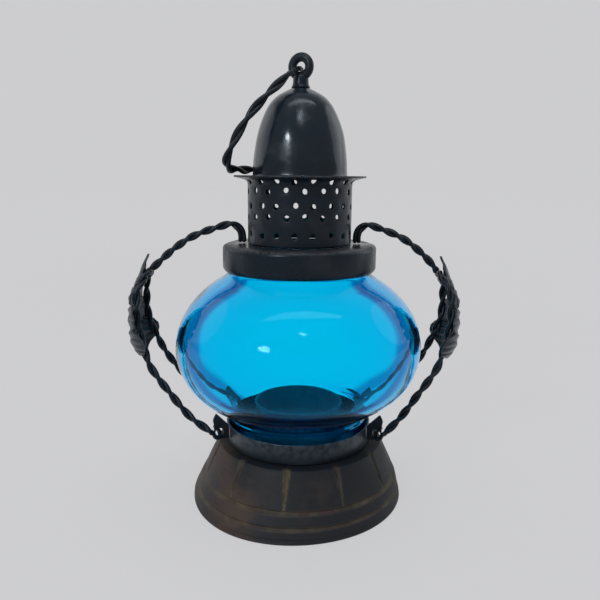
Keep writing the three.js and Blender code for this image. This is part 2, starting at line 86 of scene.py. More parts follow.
def colour(name, description, red, green, blue):
    """A colour that the user can change."""
    return bpy.props.FloatVectorProperty(
        name=name, description=description, default=(red, green, blue), min=0.0, max=1.0,
        size=3, subtype="COLOR",
    )


class LanternBaseSizes(bpy.types.PropertyGroup):
    """Sizes of the wooden base, the pan and the candle cup"""

    wood_height: length("Wood height", "Height of the wooden base", 29.5)
    wood_foot_radius: length("Wood foot radius", "Radius of the wooden base at its foot", 52.6)
    wood_top_radius: length("Wood top radius", "Radius of the wooden base at its top", 40.8)
    foot_spread: length("Foot spread", "How much the foot spreads at the front left", 2.4)
    low_ring: length("Lower ring", "Height of the lower turned ring", 7.0)
    high_ring: length("Upper ring", "Height of the upper turned ring", 13.2)
    ring_depth: length("Ring depth", "Depth of the two turned rings", 0.9)
    flute_width: length("Flute width", "Width of a carved flute at the top", 3.4)
    flute_depth: length("Flute depth", "Depth of a carved flute at the top", 1.2)
    flute_count: bpy.props.IntProperty(
        name="Flutes", description="Number of flutes carved round the base", default=11, min=0)
    pan_radius: length("Pan radius", "Outer radius of the iron pan", 36.1)
    pan_height: length("Pan height", "Height of the iron pan", 9.7)
    cup_radius: length("Cup radius", "Outer radius of the candle cup", 22.0)
    cup_height: length("Cup height", "Height of the candle cup", 16.0)


class LanternGlobeSizes(bpy.types.PropertyGroup):
    """Sizes of the glass globe"""

    radius: length("Globe radius", "Radius of the globe at its widest", 60.3)
    half_height: length("Half height", "Half the height of the ellipse that the body follows", 43.0)
    under_taper: length("Under taper", "How much the globe is drawn in below its middle", 2.4)
    right_flat: length("Right flat", "How far the globe sags in low down on its right", 3.6)
    wall: length("Wall", "Thickness of the glass", 3.2)
    mouth_radius: length("Mouth radius", "Radius of the straight foot and neck", 34.0)
    foot_rise: length("Foot rise", "Height from the pan's top to where the body begins", 3.1)
    neck_length: length("Neck length", "Height of the neck over the body", 13.6)


class LanternTopSizes(bpy.types.PropertyGroup):
    """Sizes of the cap, the perforated sleeve, the dome and its eye"""

    cap_radius: length("Cap radius", "Outer radius of the cap on the globe's neck", 36.8)
    cap_depth: length("Cap depth", "Height of the cap", 12.5)
    cap_shoulder: length("Cap shoulder", "Radius of the cap's rounded shoulder", 2.2)
    sleeve_radius: length("Sleeve radius", "Outer radius of the perforated sleeve", 24.7)
    sleeve_height: length("Sleeve height", "Height of the sleeve with its brim", 31.7)
    brim_reach: length("Brim reach", "How far the brim flares out from the sleeve", 6.6)
    flare_height: length("Flare height", "Height over which the brim flares out", 2.7)
    hole_radius: length("Hole radius", "Radius of a punched hole in the sleeve", 1.35)
    dome_radius: length("Dome radius", "Outer radius of the dome over its lip", 22.2)
    dome_height: length("Dome height", "Height of the dome", 40.0)
    lip_radius: length("Lip radius", "Outer radius of the dome's lip", 25.9)
    eye_radius: length("Eye radius", "Radius of the eye to the middle of its rod", 4.25)
    eye_rod: length("Eye rod", "Radius of the eye's rod", 2.05)


class LanternWireSizes(bpy.types.PropertyGroup):
    """Sizes of the bail and the twisted side frames"""

    bail_wire: length("Bail wire", "Radius of one wire of the bail", 1.08)
    bail_half_width: length("Bail half width", "Half the width of the bail's loop", 26.7)
    bail_turns: bpy.props.IntProperty(
        name="Bail turns", description="Whole turns of the twist round the bail", default=6, min=1)
    arm_wire: length("Frame wire", "Radius of one wire of the side frames", 1.0)
    left_reach: length("Left reach", "Distance from the axis to the left frame's side", 78.3)
    right_reach: length("Right reach", "Distance from the axis to the right frame's side", 73.7)
    hoop_half_width: length("Hoop half width", "Half the width of the hoop behind a leaf", 14.5)
    toe_in: length("Toe-in", "How far the front leg of a hoop stands in from its back leg", 2.2)
    hoop_splay: length("Hoop splay", "How much further out each leg of a hoop stands at the pan", 2.8)


class LanternLeafSizes(bpy.types.PropertyGroup):
    """Sizes of the stamped leaves"""

    half_width: length("Leaf half width", "Half the width of a leaf", 21.5)
    leaf_length: length("Leaf length", "Length of a leaf from foot to tip", 49.4)
    sheet: length("Leaf sheet", "Thickness of a leaf", 0.9)
    vein_height: length("Vein height", "How far the stamped veins stand up", 0.45)


class LanternFinishes(bpy.types.PropertyGroup):
    """Colours of the lantern's finishes and of the studio's floor"""

    iron: colour("Iron", "Painted sheet iron", 0.0086, 0.0145, 0.0225)
    # also the colour of the painted highlights on the brim's edge and the cap's shoulder
    iron_worn: colour("Worn iron", "Lighter, rubbed parts of the iron", 0.045, 0.047, 0.052)
    wire: colour("Wire", "Painted twisted wire", 0.0105, 0.015, 0.0205)
    leaf: colour("Leaf", "Painted stamped leaves", 0.027, 0.036, 0.045)
    wood_dark: colour("Dark wood", "Stained wood in the shade of the grain", 0.016, 0.0195, 0.025)
    wood_brown: colour("Brown wood", "Stained wood where it is lighter", 0.07, 0.047, 0.038)
    wood_worn: colour("Worn wood", "Rubbed edges, rings and flutes of the wood", 0.115, 0.1, 0.058)
    glass: colour("Glass", "What a beam keeps of each colour in 3 mm of the glass", 0.01, 0.725, 0.905)
    steel: colour("Steel", "Bare steel of the screw", 0.38, 0.38, 0.39)
    # painted light: paler than bare iron, so that the pan's inside looks lit through the glass
    bare: colour("Bare iron", "Unpainted inside of the pan", 0.2, 0.25, 0.31)
    # painted light: the cup is coloured much lighter than the black iron, in place of the light that reaches
    # it through the glass
    cup: colour("Cup", "Painted candle cup", 0.16, 0.205, 0.27)
    floor: colour("Floor", "Studio floor and background", 0.61, 0.61, 0.623)


def in_millimetres(group):
    """The group's lengths in millimetres and its counts as they are, under their own names."""
    values = {}
    for item in group.bl_rna.properties:
        if item.type == "FLOAT" and item.unit == "LENGTH":
            values[item.identifier] = getattr(group, item.identifier) * 1000
        elif item.type == "INT":
            values[item.identifier] = getattr(group, item.identifier)
    return SimpleNamespace(**values)


def lantern_places(base, globe, top):
    """Heights and radii that follow from the sizes: each piece stands a touch gap off the next."""
    place = SimpleNamespace()
    place.pan_floor = base.wood_height + TOUCH
    place.pan_top = place.pan_floor + base.pan_height
    place.cup_floor = place.globe_foot = place.pan_floor + SHEET + TOUCH
    place.screw_seat = place.cup_floor + SHEET + TOUCH
    wide = (globe.mouth_radius + BODY_STEP) / globe.radius
    place.body_edge = globe.half_height * math.sqrt(1 - wide ** 2)
    place.globe_centre = place.pan_top + globe.foot_rise + place.body_edge
    place.neck_top = place.globe_centre + place.body_edge + globe.neck_length
    place.cap_top = place.neck_top + CAP_PLAY + SHEET
    place.sleeve_foot = place.cap_top + TOUCH
    place.brim_top = place.sleeve_foot + top.sleeve_height
    place.dome_foot = place.brim_top - LIP_SEAT
    place.dome_top = place.dome_foot + top.dome_height
    place.eye_centre = place.dome_top + TOUCH + EYE_NECK + top.eye_radius + top.eye_rod - EYE_SINK
    place.ear_hole = np.array([base.pan_radius + 0.62 * EAR_REACH, place.pan_top - EAR_HOLE_DROP])
    return place


def lantern_sizes(scene):
    """Every group of sizes, the places that follow from them, and the colours."""
    base, globe, top, wires, leaf = (
        in_millimetres(getattr(scene, f"lantern_{name}"))
        for name in ("base", "globe", "top", "wires", "leaves")
    )
    return SimpleNamespace(
        base=base, globe=globe, top=top, wires=wires, leaf=leaf,
        place=lantern_places(base, globe, top), tone=scene.lantern_finishes,
    )


# Mesh making


def grid_faces(rows, columns, rows_closed=False, columns_closed=False):
    """Quads of a grid of points, numbered row by row, wrapped round where it is closed."""
    i = np.arange(rows if rows_closed else rows - 1)[:, None]
    j = np.arange(columns if columns_closed else columns - 1)[None, :]
    below, right = (i + 1) % rows, (j + 1) % columns
    corners = [i * columns + j, i * columns + right, below * columns + right, below * columns + j]
    return np.stack(np.broadcast_arrays(*corners), -1).reshape(-1, 4)


def patch(points, rows_closed=False, columns_closed=False, **marks):
    """One grid of points as (points, faces, marks). Each mark is a value for every point."""
    rows, columns = points.shape[:2]
    faces = grid_faces(rows, columns, rows_closed, columns_closed)
    flat = {name: np.broadcast_to(value, (rows, columns)).reshape(-1) for name, value in marks.items()}
    return points.reshape(-1, 3), faces, flat


def add_piece(name, patches, body, stands_for, finish, corner=38.0):
    """Joins the patches in one closed mesh: points that meet become one, and faces look out."""
    counts = np.cumsum([0] + [len(points) for points, _, _ in patches])
    points = np.concatenate([points for points, _, _ in patches]) * 0.001
    faces = np.concatenate([faces + start for (_, faces, _), start in zip(patches, counts)])
    mesh = bpy.data.meshes.new(name)
    mesh.from_pydata(points.tolist(), [], faces.tolist())
    for mark in patches[0][2]:
        layer = mesh.attributes.new(mark, "FLOAT", "POINT")
        layer.data.foreach_set("value", np.concatenate([m[mark] for _, _, m in patches]).astype(np.float32))
    work = bmesh.new()
    work.from_mesh(mesh)
    bmesh.ops.remove_doubles(work, verts=work.verts, dist=2e-7)
    bmesh.ops.recalc_face_normals(work, faces=work.faces)
    open_edges = sum(1 for edge in work.edges if not edge.is_manifold)
    work.to_mesh(mesh)
    work.free()
    if open_edges:
        raise RuntimeError(f"{name} has {open_edges} open edges")
    mesh.shade_smooth()
    mesh.set_sharp_from_angle(angle=math.radians(corner))
    mesh.materials.append(finish)
    piece = bpy.data.objects.new(name, mesh)
    bpy.context.scene.collection.objects.link(piece)
    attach(piece, body)
    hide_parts(*stands_for)
    return piece


def smoothstep(low, high, value):
    """0 at low, 1 at high, and between them the cubic that leaves and arrives level."""
    t = np.clip((value - low) / (high - low), 0, 1)
    return t * t * (3 - 2 * t)


def bell(value, middle, width):
    """A bell curve: e to the power of minus the square of the distance, in widths, off the middle."""
    return np.exp(-(((value - middle) / width) ** 2))


def unit(vectors):
    """The vectors at length 1."""
    return vectors / np.linalg.norm(vectors, axis=-1, keepdims=True)


def full_turn(steps):
    """Even angles round a circle, from 0."""
    return np.arange(steps) * 2 * np.pi / steps


def running_length(line):
    """The length from a line's first point to each of its points."""
    return np.concatenate([[0], np.cumsum(np.linalg.norm(np.diff(line, axis=0), axis=1))])


def quadratic(start, corner, end, t):
    """The quadratic curve from start to end whose tangents there meet in the corner."""
    return (1 - t) ** 2 * start + 2 * t * (1 - t) * corner + t ** 2 * end


def softened(points, radius, steps=4):
    """Rounds the corners of a closed outline: each corner becomes a quadratic curve that leaves
    and joins its sides `radius` away from it, or at 0.45 of a shorter side."""
    points = np.asarray(points, float)
    back, ahead = np.roll(points, 1, 0) - points, np.roll(points, -1, 0) - points
    back_size, ahead_size = np.linalg.norm(back, axis=1), np.linalg.norm(ahead, axis=1)
    reach = np.minimum(radius, 0.45 * np.minimum(back_size, ahead_size))
    start = points + back * (reach / back_size)[:, None]
    end = points + ahead * (reach / ahead_size)[:, None]
    curve = quadratic(start, points, end, np.linspace(0, 1, steps + 1)[:, None, None])
    return curve.transpose(1, 0, 2).reshape(-1, 2)


def round_axis(radius, angle, height):
    """Points at a radius and a height. The angle runs from the front, -Y, towards +X."""
    return np.stack(np.broadcast_arrays(radius * np.sin(angle), -radius * np.cos(angle), height), -1)


def round_turn(out, left, up, turn):
    """Points a way out along +X, to its left and up, all turned about Z."""
    return np.stack([
        out * math.cos(turn) - left * math.sin(turn), out * math.sin(turn) + left * math.cos(turn), up,
    ], -1)


def shoulder(radius, top, size, steps):
    """A quarter circle as [radius, height], from an upright side in to a flat top."""
    turn = np.radians(np.linspace(0, 90, steps))
    return np.stack([radius - size * (1 - np.cos(turn)), top - size * (1 - np.sin(turn))], -1)


def turned(outline, steps, wave=None):
    """An outline of [radius, height] turned round Z. wave(angle, radius, height) is added to the
    radius, off the axis."""
    angle = full_turn(steps)[None, :]
    radius, height = outline.T[:, :, None]
    return round_axis(radius + (wave(angle, radius, height) if wave else 0) * (radius > 0.01), angle, height)


def normals_of(line):
    """Unit normals of an open line of [radius, height] points, on its left-hand side."""
    run = unit(np.gradient(line, axis=0))
    return np.stack([-run[:, 1], run[:, 0]], -1)


def sheet_outline(line, wall):
    """A closed outline: the line, a rounded end, the line moved to its left by the wall, and a
    rounded end back. The ends are half circles."""
    side = normals_of(line) * wall
    turn = np.radians(np.linspace(0, 180, 7))[1:-1, None]

    def round_end(tip, before, across, way):
        on = unit(tip - before) * wall / 2
        return tip + across / 2 + way * across / 2 * np.cos(turn) + on * np.sin(turn)

    far = round_end(line[-1], line[-2], side[-1], -1)
    near = round_end(line[0], line[1], side[0], 1)
    return np.concatenate([line, far, (line + side)[::-1], near])


def curve_through(points, closed=False, spacing=WIRE_STEP):
    """Even points along a centripetal Catmull-Rom curve: between two points it is the cubic
    whose slopes there come from the square roots of the distances to the points beside them."""
    points = np.asarray(points, float)
    if closed:
        around = np.concatenate([points[-1:], points, points[:2]])
    else:
        around = np.concatenate([[2 * points[0] - points[1]], points, [2 * points[-1] - points[-2]]])
    p0, p1, p2, p3 = around[:-3], around[1:-2], around[2:-1], around[3:]
    g0, g1, g2 = (
        np.maximum(np.linalg.norm(b - a, axis=1, keepdims=True) ** 0.5, 1e-6)
        for a, b in ((p0, p1), (p1, p2), (p2, p3))
    )
    leave = ((p1 - p0) / g0 - (p2 - p0) / (g0 + g1) + (p2 - p1) / g1) * g1
    arrive = ((p2 - p1) / g1 - (p3 - p1) / (g1 + g2) + (p3 - p2) / g2) * g1
    t = np.linspace(0, 1, 48, endpoint=False)[None, :, None]
    a, b, c, d = (value[:, None, :] for value in (p1, p2, leave, arrive))
    fine = a + c * t + (3 * b - 3 * a - 2 * c - d) * t ** 2 + (2 * a - 2 * b + c + d) * t ** 3
    fine = np.concatenate([fine.reshape(-1, points.shape[1]), p2[-1:]])
    along = running_length(fine)
    even = np.linspace(0, along[-1], max(int(round(along[-1] / spacing)), 2) + 1)
    if closed:
        even = even[:-1]
    return np.stack([np.interp(even, along, column) for column in fine.T], -1)


def path_frames(path, side, closed=False):
    """Unit directions along a path, and two square to it: the first is what is left of `side`
    once its part along the path is taken off, and the second is square to both."""
    ahead = np.roll(path, -1, 0) - np.roll(path, 1, 0) if closed else np.gradient(path, axis=0)
    ahead = unit(ahead)
    first = unit(side - (side * ahead).sum(1, keepdims=True) * ahead)
    return ahead, first, np.cross(ahead, first)


def wire(path, radius, side, closed=False, sides=12):
    """A round wire: a circle carried along the path. The ends of an open wire are half balls:
    the circle moves on by radius times sine and shrinks to radius times cosine of 0 to 90
    degrees."""
    ahead, first, second = path_frames(path, side, closed)
    width = np.full(len(path), radius)
    if not closed:
        turn = np.radians(np.linspace(90, 0, 5))[:-1]
        start = path[0] - ahead[0] * (radius * np.sin(turn))[:, None]
        end = path[-1] + ahead[-1] * (radius * np.sin(turn[::-1]))[:, None]
        path = np.concatenate([start, path, end])
        width = np.concatenate([radius * np.cos(turn), width, radius * np.cos(turn[::-1])])
        first, second = (np.pad(way, ((4, 4), (0, 0)), "edge") for way in (first, second))
    around = full_turn(sides)[None, :, None]
    ring = np.cos(around) * first[:, None, :] + np.sin(around) * second[:, None, :]
    return patch(path[:, None, :] + ring * width[:, None, None], closed, True)


def twisted_pair(path, radius, side, turn, opening=None, closed=False):
    """Two wires wound round a path. Each lies a little under its own radius from the path, on
    opposite sides, in a direction that turns by `turn` radians at each point. Where `opening`
    falls from 1 to 0 the first wire moves in to the path and the second has ended."""
    thick, apart = radius * 1.02, radius * 0.93
    _, first, second = path_frames(path, side, closed)
    turn = turn[:, None]
    out = np.cos(turn) * first + np.sin(turn) * second
    if opening is None:
        opening = np.ones(len(path))
    kept = opening > 0.9
    lead = wire(path + out * apart * opening[:, None], thick, out, closed)
    return [lead, wire((path - out * apart)[kept], thick, out[kept])]


# Finishes


def add_node(tree, kind, inputs=None, **settings):
    """A node with its settings, and each input either a value or a socket that feeds it."""
    made = tree.nodes.new(kind)
    for name, value in settings.items():
        setattr(made, name, value)
    for name, value in (inputs or {}).items():
        if isinstance(value, bpy.types.NodeSocket):
            tree.links.new(value, made.inputs[name])
        else:
            made.inputs[name].default_value = value
    return made


def put_out(tree, out, kind, inputs):
    """A shader with these inputs, fed into the output's surface."""
    tree.links.new(add_node(tree, kind, inputs).outputs[0], out.inputs["Surface"])


def new_finish(name):
    """An empty material, its tree, the Object coordinates and its output."""
    finish = bpy.data.materials.new(name)
    finish.use_nodes = True
    tree = finish.node_tree
    tree.nodes.clear()
    where = add_node(tree, "ShaderNodeTexCoord").outputs["Object"]
    return finish, tree, where, add_node(tree, "ShaderNodeOutputMaterial")


def stretched(tree, where, x, y, z, turn=0.0):
    """The coordinates multiplied along each axis, and turned about Z."""
    return add_node(
        tree, "ShaderNodeMapping",
        {"Vector": where, "Scale": (x, y, z), "Rotation": (0, 0, turn)},
    ).outputs["Vector"]


def noise(tree, where, scale, detail=4.0, roughness=0.55, distortion=0.0):
    """Smooth noise from 0 to 1. The scale counts its bumps in a metre."""
    return add_node(
        tree, "ShaderNodeTexNoise",
        {"Vector": where, "Scale": scale, "Detail": detail, "Roughness": roughness,
         "Distortion": distortion},
    ).outputs["Fac"]


def spread(tree, value, low, high, to_low=0.0, to_high=1.0):
    """The value's range from low to high, stretched to another range and held at its ends."""
    return add_node(
        tree, "ShaderNodeMapRange",
        {"Value": value, "From Min": low, "From Max": high, "To Min": to_low, "To Max": to_high},
        interpolation_type="SMOOTHSTEP",
    ).outputs["Result"]


def blended(tree, share, one, other):
    """A colour between two: colours are sockets or (red, green, blue)."""
    colours = [value if isinstance(value, bpy.types.NodeSocket) else (*value, 1.0) for value in (one, other)]
    inputs = {0: share, 6: colours[0], 7: colours[1]}
    return add_node(tree, "ShaderNodeMix", inputs, data_type="RGBA").outputs[2]


def calculated(tree, operation, one, other):
    """One value worked out from two."""
    return add_node(tree, "ShaderNodeMath", {0: one, 1: other}, operation=operation).outputs["Value"]


def times(tree, one, other):
    """The product of two values."""
    return calculated(tree, "MULTIPLY", one, other)


def part_of(tree, vector, axis):
    """The vector's X, Y or Z."""
    return add_node(tree, "ShaderNodeSeparateXYZ", {"Vector": vector}).outputs[axis]


def wear_mark(tree):
    """The mesh's mark of rubbing and painted light."""
    return add_node(tree, "ShaderNodeAttribute", attribute_name="wear").outputs["Fac"]


def raised(tree, height, distance, strength, under=None):
    """A bump, on top of another if one is given: height from 0 to 1 stands for `distance` metres."""
    inputs = {"Height": height, "Distance": distance, "Strength": strength}
    if under is not None:
        inputs["Normal"] = under
    return add_node(tree, "ShaderNodeBump", inputs).outputs["Normal"]


def painted_iron(name, dark, light, sheen=0.36, wear=0.5, gloss=0.36, dusty=0.3):
    """Black paint on iron: uneven sheen in soft patches, brushed ripples, and a paler, rougher
    grey where the mesh's mark of rubbing and painted light is high and, up to the share `dusty`,
    in clouds of dust. On most pieces that mark is rubbed paint. On the brim's edge and the
    cap's shoulder it is also a painted highlight, and inside the pan it is painted light."""
    finish, tree, where, out = new_finish(name)
    patches = noise(tree, where, 55, 5)
    ripple = noise(tree, stretched(tree, where, 1, 1, 0.35), 260, 3)
    # the marked parts: rubbed paint, plus the painted highlights and painted light on the pieces that mark
    # them
    rubbed = times(tree, wear_mark(tree), spread(tree, noise(tree, where, 420, 3), 0.35, 0.62))
    dust = times(tree, spread(tree, patches, 0.5, 0.72), dusty)
    share = calculated(tree, "MAXIMUM", times(tree, rubbed, wear), dust)
    rough = calculated(tree, "ADD", patches, times(tree, share, 0.4))
    put_out(tree, out, "ShaderNodeBsdfPrincipled", {
        "Base Color": blended(tree, share, dark, light),
        "Roughness": spread(tree, rough, 0.35, 0.85, sheen - 0.07, sheen + 0.2),
        "Normal": raised(tree, noise(tree, where, 2600, 2), 0.00004, 0.5,
                         raised(tree, ripple, 0.00022, 0.6)),
        "Specular IOR Level": gloss, "Specular Tint": (0.8, 0.9, 1.0, 1.0),
    })
    return finish


def stained_wood(name, dark, brown, worn):
    """Dark stained, turned wood: brown clouds that grow to the left, fine turning lines round
    the axis, short pores and pale, rubbed edges where the mesh's wear mark is high."""
    finish, tree, where, out = new_finish(name)
    clouds = noise(tree, stretched(tree, where, 1, 1, 1.6), 26, 5, 0.6, 0.6)
    side = spread(tree, part_of(tree, where, "X"), -0.034, 0.008, 0.16, -0.12)
    share = spread(tree, calculated(tree, "ADD", clouds, side), 0.42, 0.74)
    grain = noise(tree, stretched(tree, where, 1, 1, 14), 90, 6, 0.7, 0.3)
    stain = blended(tree, share, dark, brown)
    stain = blended(tree, spread(tree, grain, 0.5, 0.72, 0.0, 0.45), stain, (0.012, 0.011, 0.012))
    pale = blended(tree, spread(tree, noise(tree, where, 120, 3), 0.4, 0.6), worn, brown)
    rub = times(tree, wear_mark(tree), spread(tree, noise(tree, where, 75, 4), 0.3, 0.6, 0.45, 1.0))
    put_out(tree, out, "ShaderNodeBsdfPrincipled", {
        "Base Color": blended(tree, rub, stain, pale),
        "Roughness": spread(tree, clouds, 0.3, 0.7, 0.5, 0.68),
        "Normal": raised(tree, noise(tree, where, 900, 3), 0.00008, 0.5,
                         raised(tree, grain, 0.00018, 0.8)),
        "Specular IOR Level": 0.35,
    })
    return finish


def blown_glass(name, kept, wall):
    """Coloured clear glass. What a beam keeps of each colour over the wall, by the law that each
    further millimetre takes the same share again, gives the absorption. A deeper blue is painted
    into the colour where the surface slants away, near the globe's outline: painted shade in place
    of the darker light that the glass bends in from there."""
    finish, tree, where, out = new_finish(name)
    taken = [-math.log(max(share, 0.01)) / wall for share in kept]
    strength = max(taken)
    waves = noise(tree, stretched(tree, where, 1, 1, 2.2), 34, 1, 0.3)
    slant = add_node(tree, "ShaderNodeLayerWeight", {"Blend": 0.5}).outputs["Facing"]
    # painted shade: deep blue mixed into the glass colour where the surface slants away, near the outline
    painted_edge_shade = times(tree, spread(tree, slant, 0.44, 0.53), spread(tree, slant, 0.58, 0.68, 0.95, 0.0))
    put_out(tree, out, "ShaderNodeBsdfPrincipled", {
        "Base Color": blended(tree, painted_edge_shade, (1, 1, 1), (0.03, 0.15, 0.38)), "Roughness": 0.015,
        "IOR": 1.47, "Transmission Weight": 1.0, "Specular Tint": (0.1, 0.28, 0.34, 1),
        "Normal": raised(tree, waves, 0.0006, 0.5),
    })
    inside = add_node(tree, "ShaderNodeVolumeAbsorption", {
        "Color": (*[1 - value / strength for value in taken], 1), "Density": strength,
    })
    tree.links.new(inside.outputs[0], out.inputs["Volume"])
    return finish


def brushed_steel(name, tone):
    """Bare steel with fine scratches across the screw's head."""
    finish, tree, where, out = new_finish(name)
    scratches = noise(tree, stretched(tree, where, 12, 1, 1, 0.4), 700, 4)
    cloudy = spread(tree, noise(tree, where, 500, 4), 0.35, 0.65)
    put_out(tree, out, "ShaderNodeBsdfPrincipled", {
        "Base Color": blended(tree, cloudy, tone, (0.2, 0.19, 0.18)), "Metallic": 1.0,
        "Roughness": spread(tree, scratches, 0.3, 0.7, 0.28, 0.5),
        "Normal": raised(tree, scratches, 0.00005, 0.6),
    })
    return finish


# Shapes


def wood_radius(size, height):
    """The base's side: it loses a quarter of its taper evenly with height, and the rest by the
    power 1.35 of the height."""
    share = height / size.wood_height
    taper = size.wood_foot_radius - size.wood_top_radius
    return size.wood_foot_radius - taper * (0.25 * share + 0.75 * share ** 1.35)


def carved_base(size, place):
    """The base: a profile of radius against height turned round Z. Each ring is a groove whose
    depth falls off as a bell curve of the height from its middle. Each flute is a V that narrows
    from the top down to the upper ring, and is rubbed pale most at the front and the back. The
    foot spreads at the front left, by a bell curve of the angle that fades with height, and the
    side above it stands a little to the right."""
    groove, first_flute, lean = 0.62, math.radians(-8), 0.8
    spread_angle, spread_width = math.radians(325), 0.7
    low, high, top = size.low_ring, size.high_ring, size.wood_height
    side = np.concatenate([
        np.linspace(1.6, low - 1.6, 10), np.linspace(low - 1.4, high + 1.8, 46),
        np.linspace(high + 2.2, top - 0.9, 26),
    ])
    turn = np.radians(np.linspace(0, 80, 5))
    foot = np.stack([size.wood_foot_radius - 1.7 + 1.5 * np.sin(turn), 1.5 * (1 - np.cos(turn))], -1)
    edge_radius = wood_radius(size, top - 0.8)
    pilot_floor = place.screw_seat - PILOT_DEPTH
    bottom = [[0, 0], [20, 0], [42, 0], [48, 0]]
    outline = np.concatenate([
        bottom, foot, np.stack([wood_radius(size, side), side], -1),
        shoulder(edge_radius, top, 0.8, 5),
        [[edge_radius - 1.8, top], [38, top], [30, top],
         [SCREW_HOLE, top], [SCREW_HOLE, pilot_floor], [0, pilot_floor]],
    ])
    angle = full_turn(660)[None, :]
    radius, height = outline.T[:, :, None]
    on_side = (radius > 38.5) & (height > 1.5)
    rings = bell(height, low, groove) + bell(height, high, groove)
    lips = bell(np.abs(height - low), 0.8, 0.4) + bell(np.abs(height - high), 0.8, 0.4)
    step_out = 0.35 * smoothstep(high + 0.6, high - 0.6, height) * (height > 3)

    spacing = 2 * np.pi / max(size.flute_count, 1)
    off = (angle - first_flute + spacing / 2) % spacing - spacing / 2
    share = np.clip((height - high - 0.8) / (top - high - 0.8), 0, 1)
    across = np.abs(off * radius) / (size.flute_width / 2 * (0.25 + 0.75 * share))
    cut = np.clip(1 - across, 0, 1) * size.flute_depth * smoothstep(0, 0.3, share)
    cut = cut * (share > 0) * (size.flute_count > 0)
    rubbed = 1.1 * (cut > 0) * (1 - 0.3 * across) + 0.3 * bell(across, 0.9, 0.5) * (share > 0.02)
    rubbed = rubbed * (0.25 + 0.75 * np.cos(angle) ** 4)

    wander = 0.12 * np.sin(3 * angle + 0.12 * height) + 0.07 * np.sin(7 * angle - 0.3 * height)
    from_left = (angle - spread_angle + np.pi) % (2 * np.pi) - np.pi
    spread_out = size.foot_spread * bell(from_left, 0, spread_width) * (
        1 - np.clip(height / top, 0, 1)) ** 1.5
    grown = radius + on_side * (wander - rings * size.ring_depth - cut + step_out)
    points = round_axis(grown + spread_out * (radius > 40), angle, height)
    points[:, :, 0] += lean * smoothstep(4, 14, height) * (radius > 36)
    wear = np.clip(0.85 * rings + 0.35 * lips + rubbed, 0, 1)
    return [patch(points, False, True, wear=wear * on_side)]


def pan_shape(size, place):
    """The pan: a flat floor and an upright wall with rounded corners, turned round Z. Its inside
    is left bare of paint and takes the pale bare-iron colour, which is also painted light: it is
    lighter than bare iron, in place of the light that comes in through the glass. Its rim is a
    little rubbed."""
    low, high, rim = place.pan_floor, place.pan_top, size.pan_radius
    outline = softened([
        [SCREW_HOLE, low], [rim, low], [rim, high], [rim - SHEET, high], [rim - SHEET, low + SHEET],
        [SCREW_HOLE, low + SHEET],
    ], np.array([0.1, 0.9, 0.4, 0.4, 0.6, 0.1]), 5)
    points = turned(outline, 220, lambda angle, radius, height: 0.1 * np.sin(2 * angle + 1) * (radius > 30))
    radius, height = outline.T[:, :, None]
    # painted light: the whole inside takes the pale colour, in place of the light that the glass lets in
    inside = (radius < rim - 0.6 * SHEET) & (height > low + 0.5 * SHEET)
    edge = 0.35 * bell(height, high, 0.5) * (radius > 30)
    return [patch(points, True, True, wear=np.maximum(edge, inside))]


def cup_shape(size, place):
    """The candle cup: a floor, an upright wall and a small rolled rim, turned round Z."""
    low, high, wall = place.cup_floor, place.cup_floor + size.cup_height, size.cup_radius
    outline = softened([
        [SCREW_HOLE, low], [wall, low], [wall, high - 1.3], [wall + 0.5, high - 0.7],
        [wall + 0.4, high], [wall - SHEET, high], [wall - SHEET, low + SHEET], [5.2, low + SHEET],
        [SCREW_HOLE, low + SHEET],
    ], np.array([0.1, 1.2, 0.5, 0.3, 0.4, 0.4, 0.8, 0.5, 0.1]), 5)
    return [patch(turned(outline, 180), True, True, wear=bell(outline[:, 1, None], high, 0.5))]


def globe_line(size, place):
    """The globe's outer side: an upright foot, an ellipse that is drawn in a little under its
    middle, and an upright neck, with the corners between them rounded."""
    edge, centre, mouth = place.body_edge, place.globe_centre, size.mouth_radius
    height = edge * np.sin(np.pi / 2 * np.linspace(-1, 1, 90))[10:-10]
    radius = size.radius * np.sqrt(1 - (height / size.half_height) ** 2)
    radius = radius - size.under_taper * bell(height, -0.7 * size.half_height, 7.5)
    body = np.stack([radius, centre + height], -1)
    foot = np.linspace([mouth, place.globe_foot + 1.6], [mouth, centre - edge - 2.0], 6)
    neck = np.linspace([mouth, centre + edge + 2.0], [mouth, place.neck_top - 1.6], 8)
    t = np.linspace(0, 1, 8)[1:-1, None]

    def corner(end, before):
        run = end - before
        return np.array([mouth, end[1] + (mouth - end[0]) * run[1] / run[0]])

    low = quadratic(foot[-1], corner(body[0], body[1]), body[0], t)
    high = quadratic(body[-1], corner(body[-1], body[-2]), neck[0], t)
    return np.concatenate([foot, low, body, high, neck])


def globe_shape(size, place):
    """The globe: its side turned round Z, and the same side moved in by the wall, joined over
    rounded rims. Slow waves round and up the body make it blown, and its right side sags in low
    down, by bell curves of the angle and the height."""
    def blown(angle, radius, height):
        off = np.abs(height - place.globe_centre)
        up = (height - place.globe_centre) / size.half_height
        right = bell(angle, np.pi / 2, 0.85)
        sag = bell(up, -0.72, 0.24) * (0.7 + size.right_flat * right) + 0.8 * bell(up, -0.15, 0.4) * right
        waves = (
            0.16 * np.sin(2 * angle + 0.6) + 0.11 * np.sin(5 * angle + 3 * up)
            + 0.07 * np.sin(9 * angle - 5 * up + 1.0)
        )
        wavy, sagging = (smoothstep(place.body_edge, place.body_edge * share, off) for share in (0.7, 0.9))
        return wavy * waves - sagging * sag

    return [patch(turned(sheet_outline(globe_line(size, place), size.wall), 240, blown), True, True)]


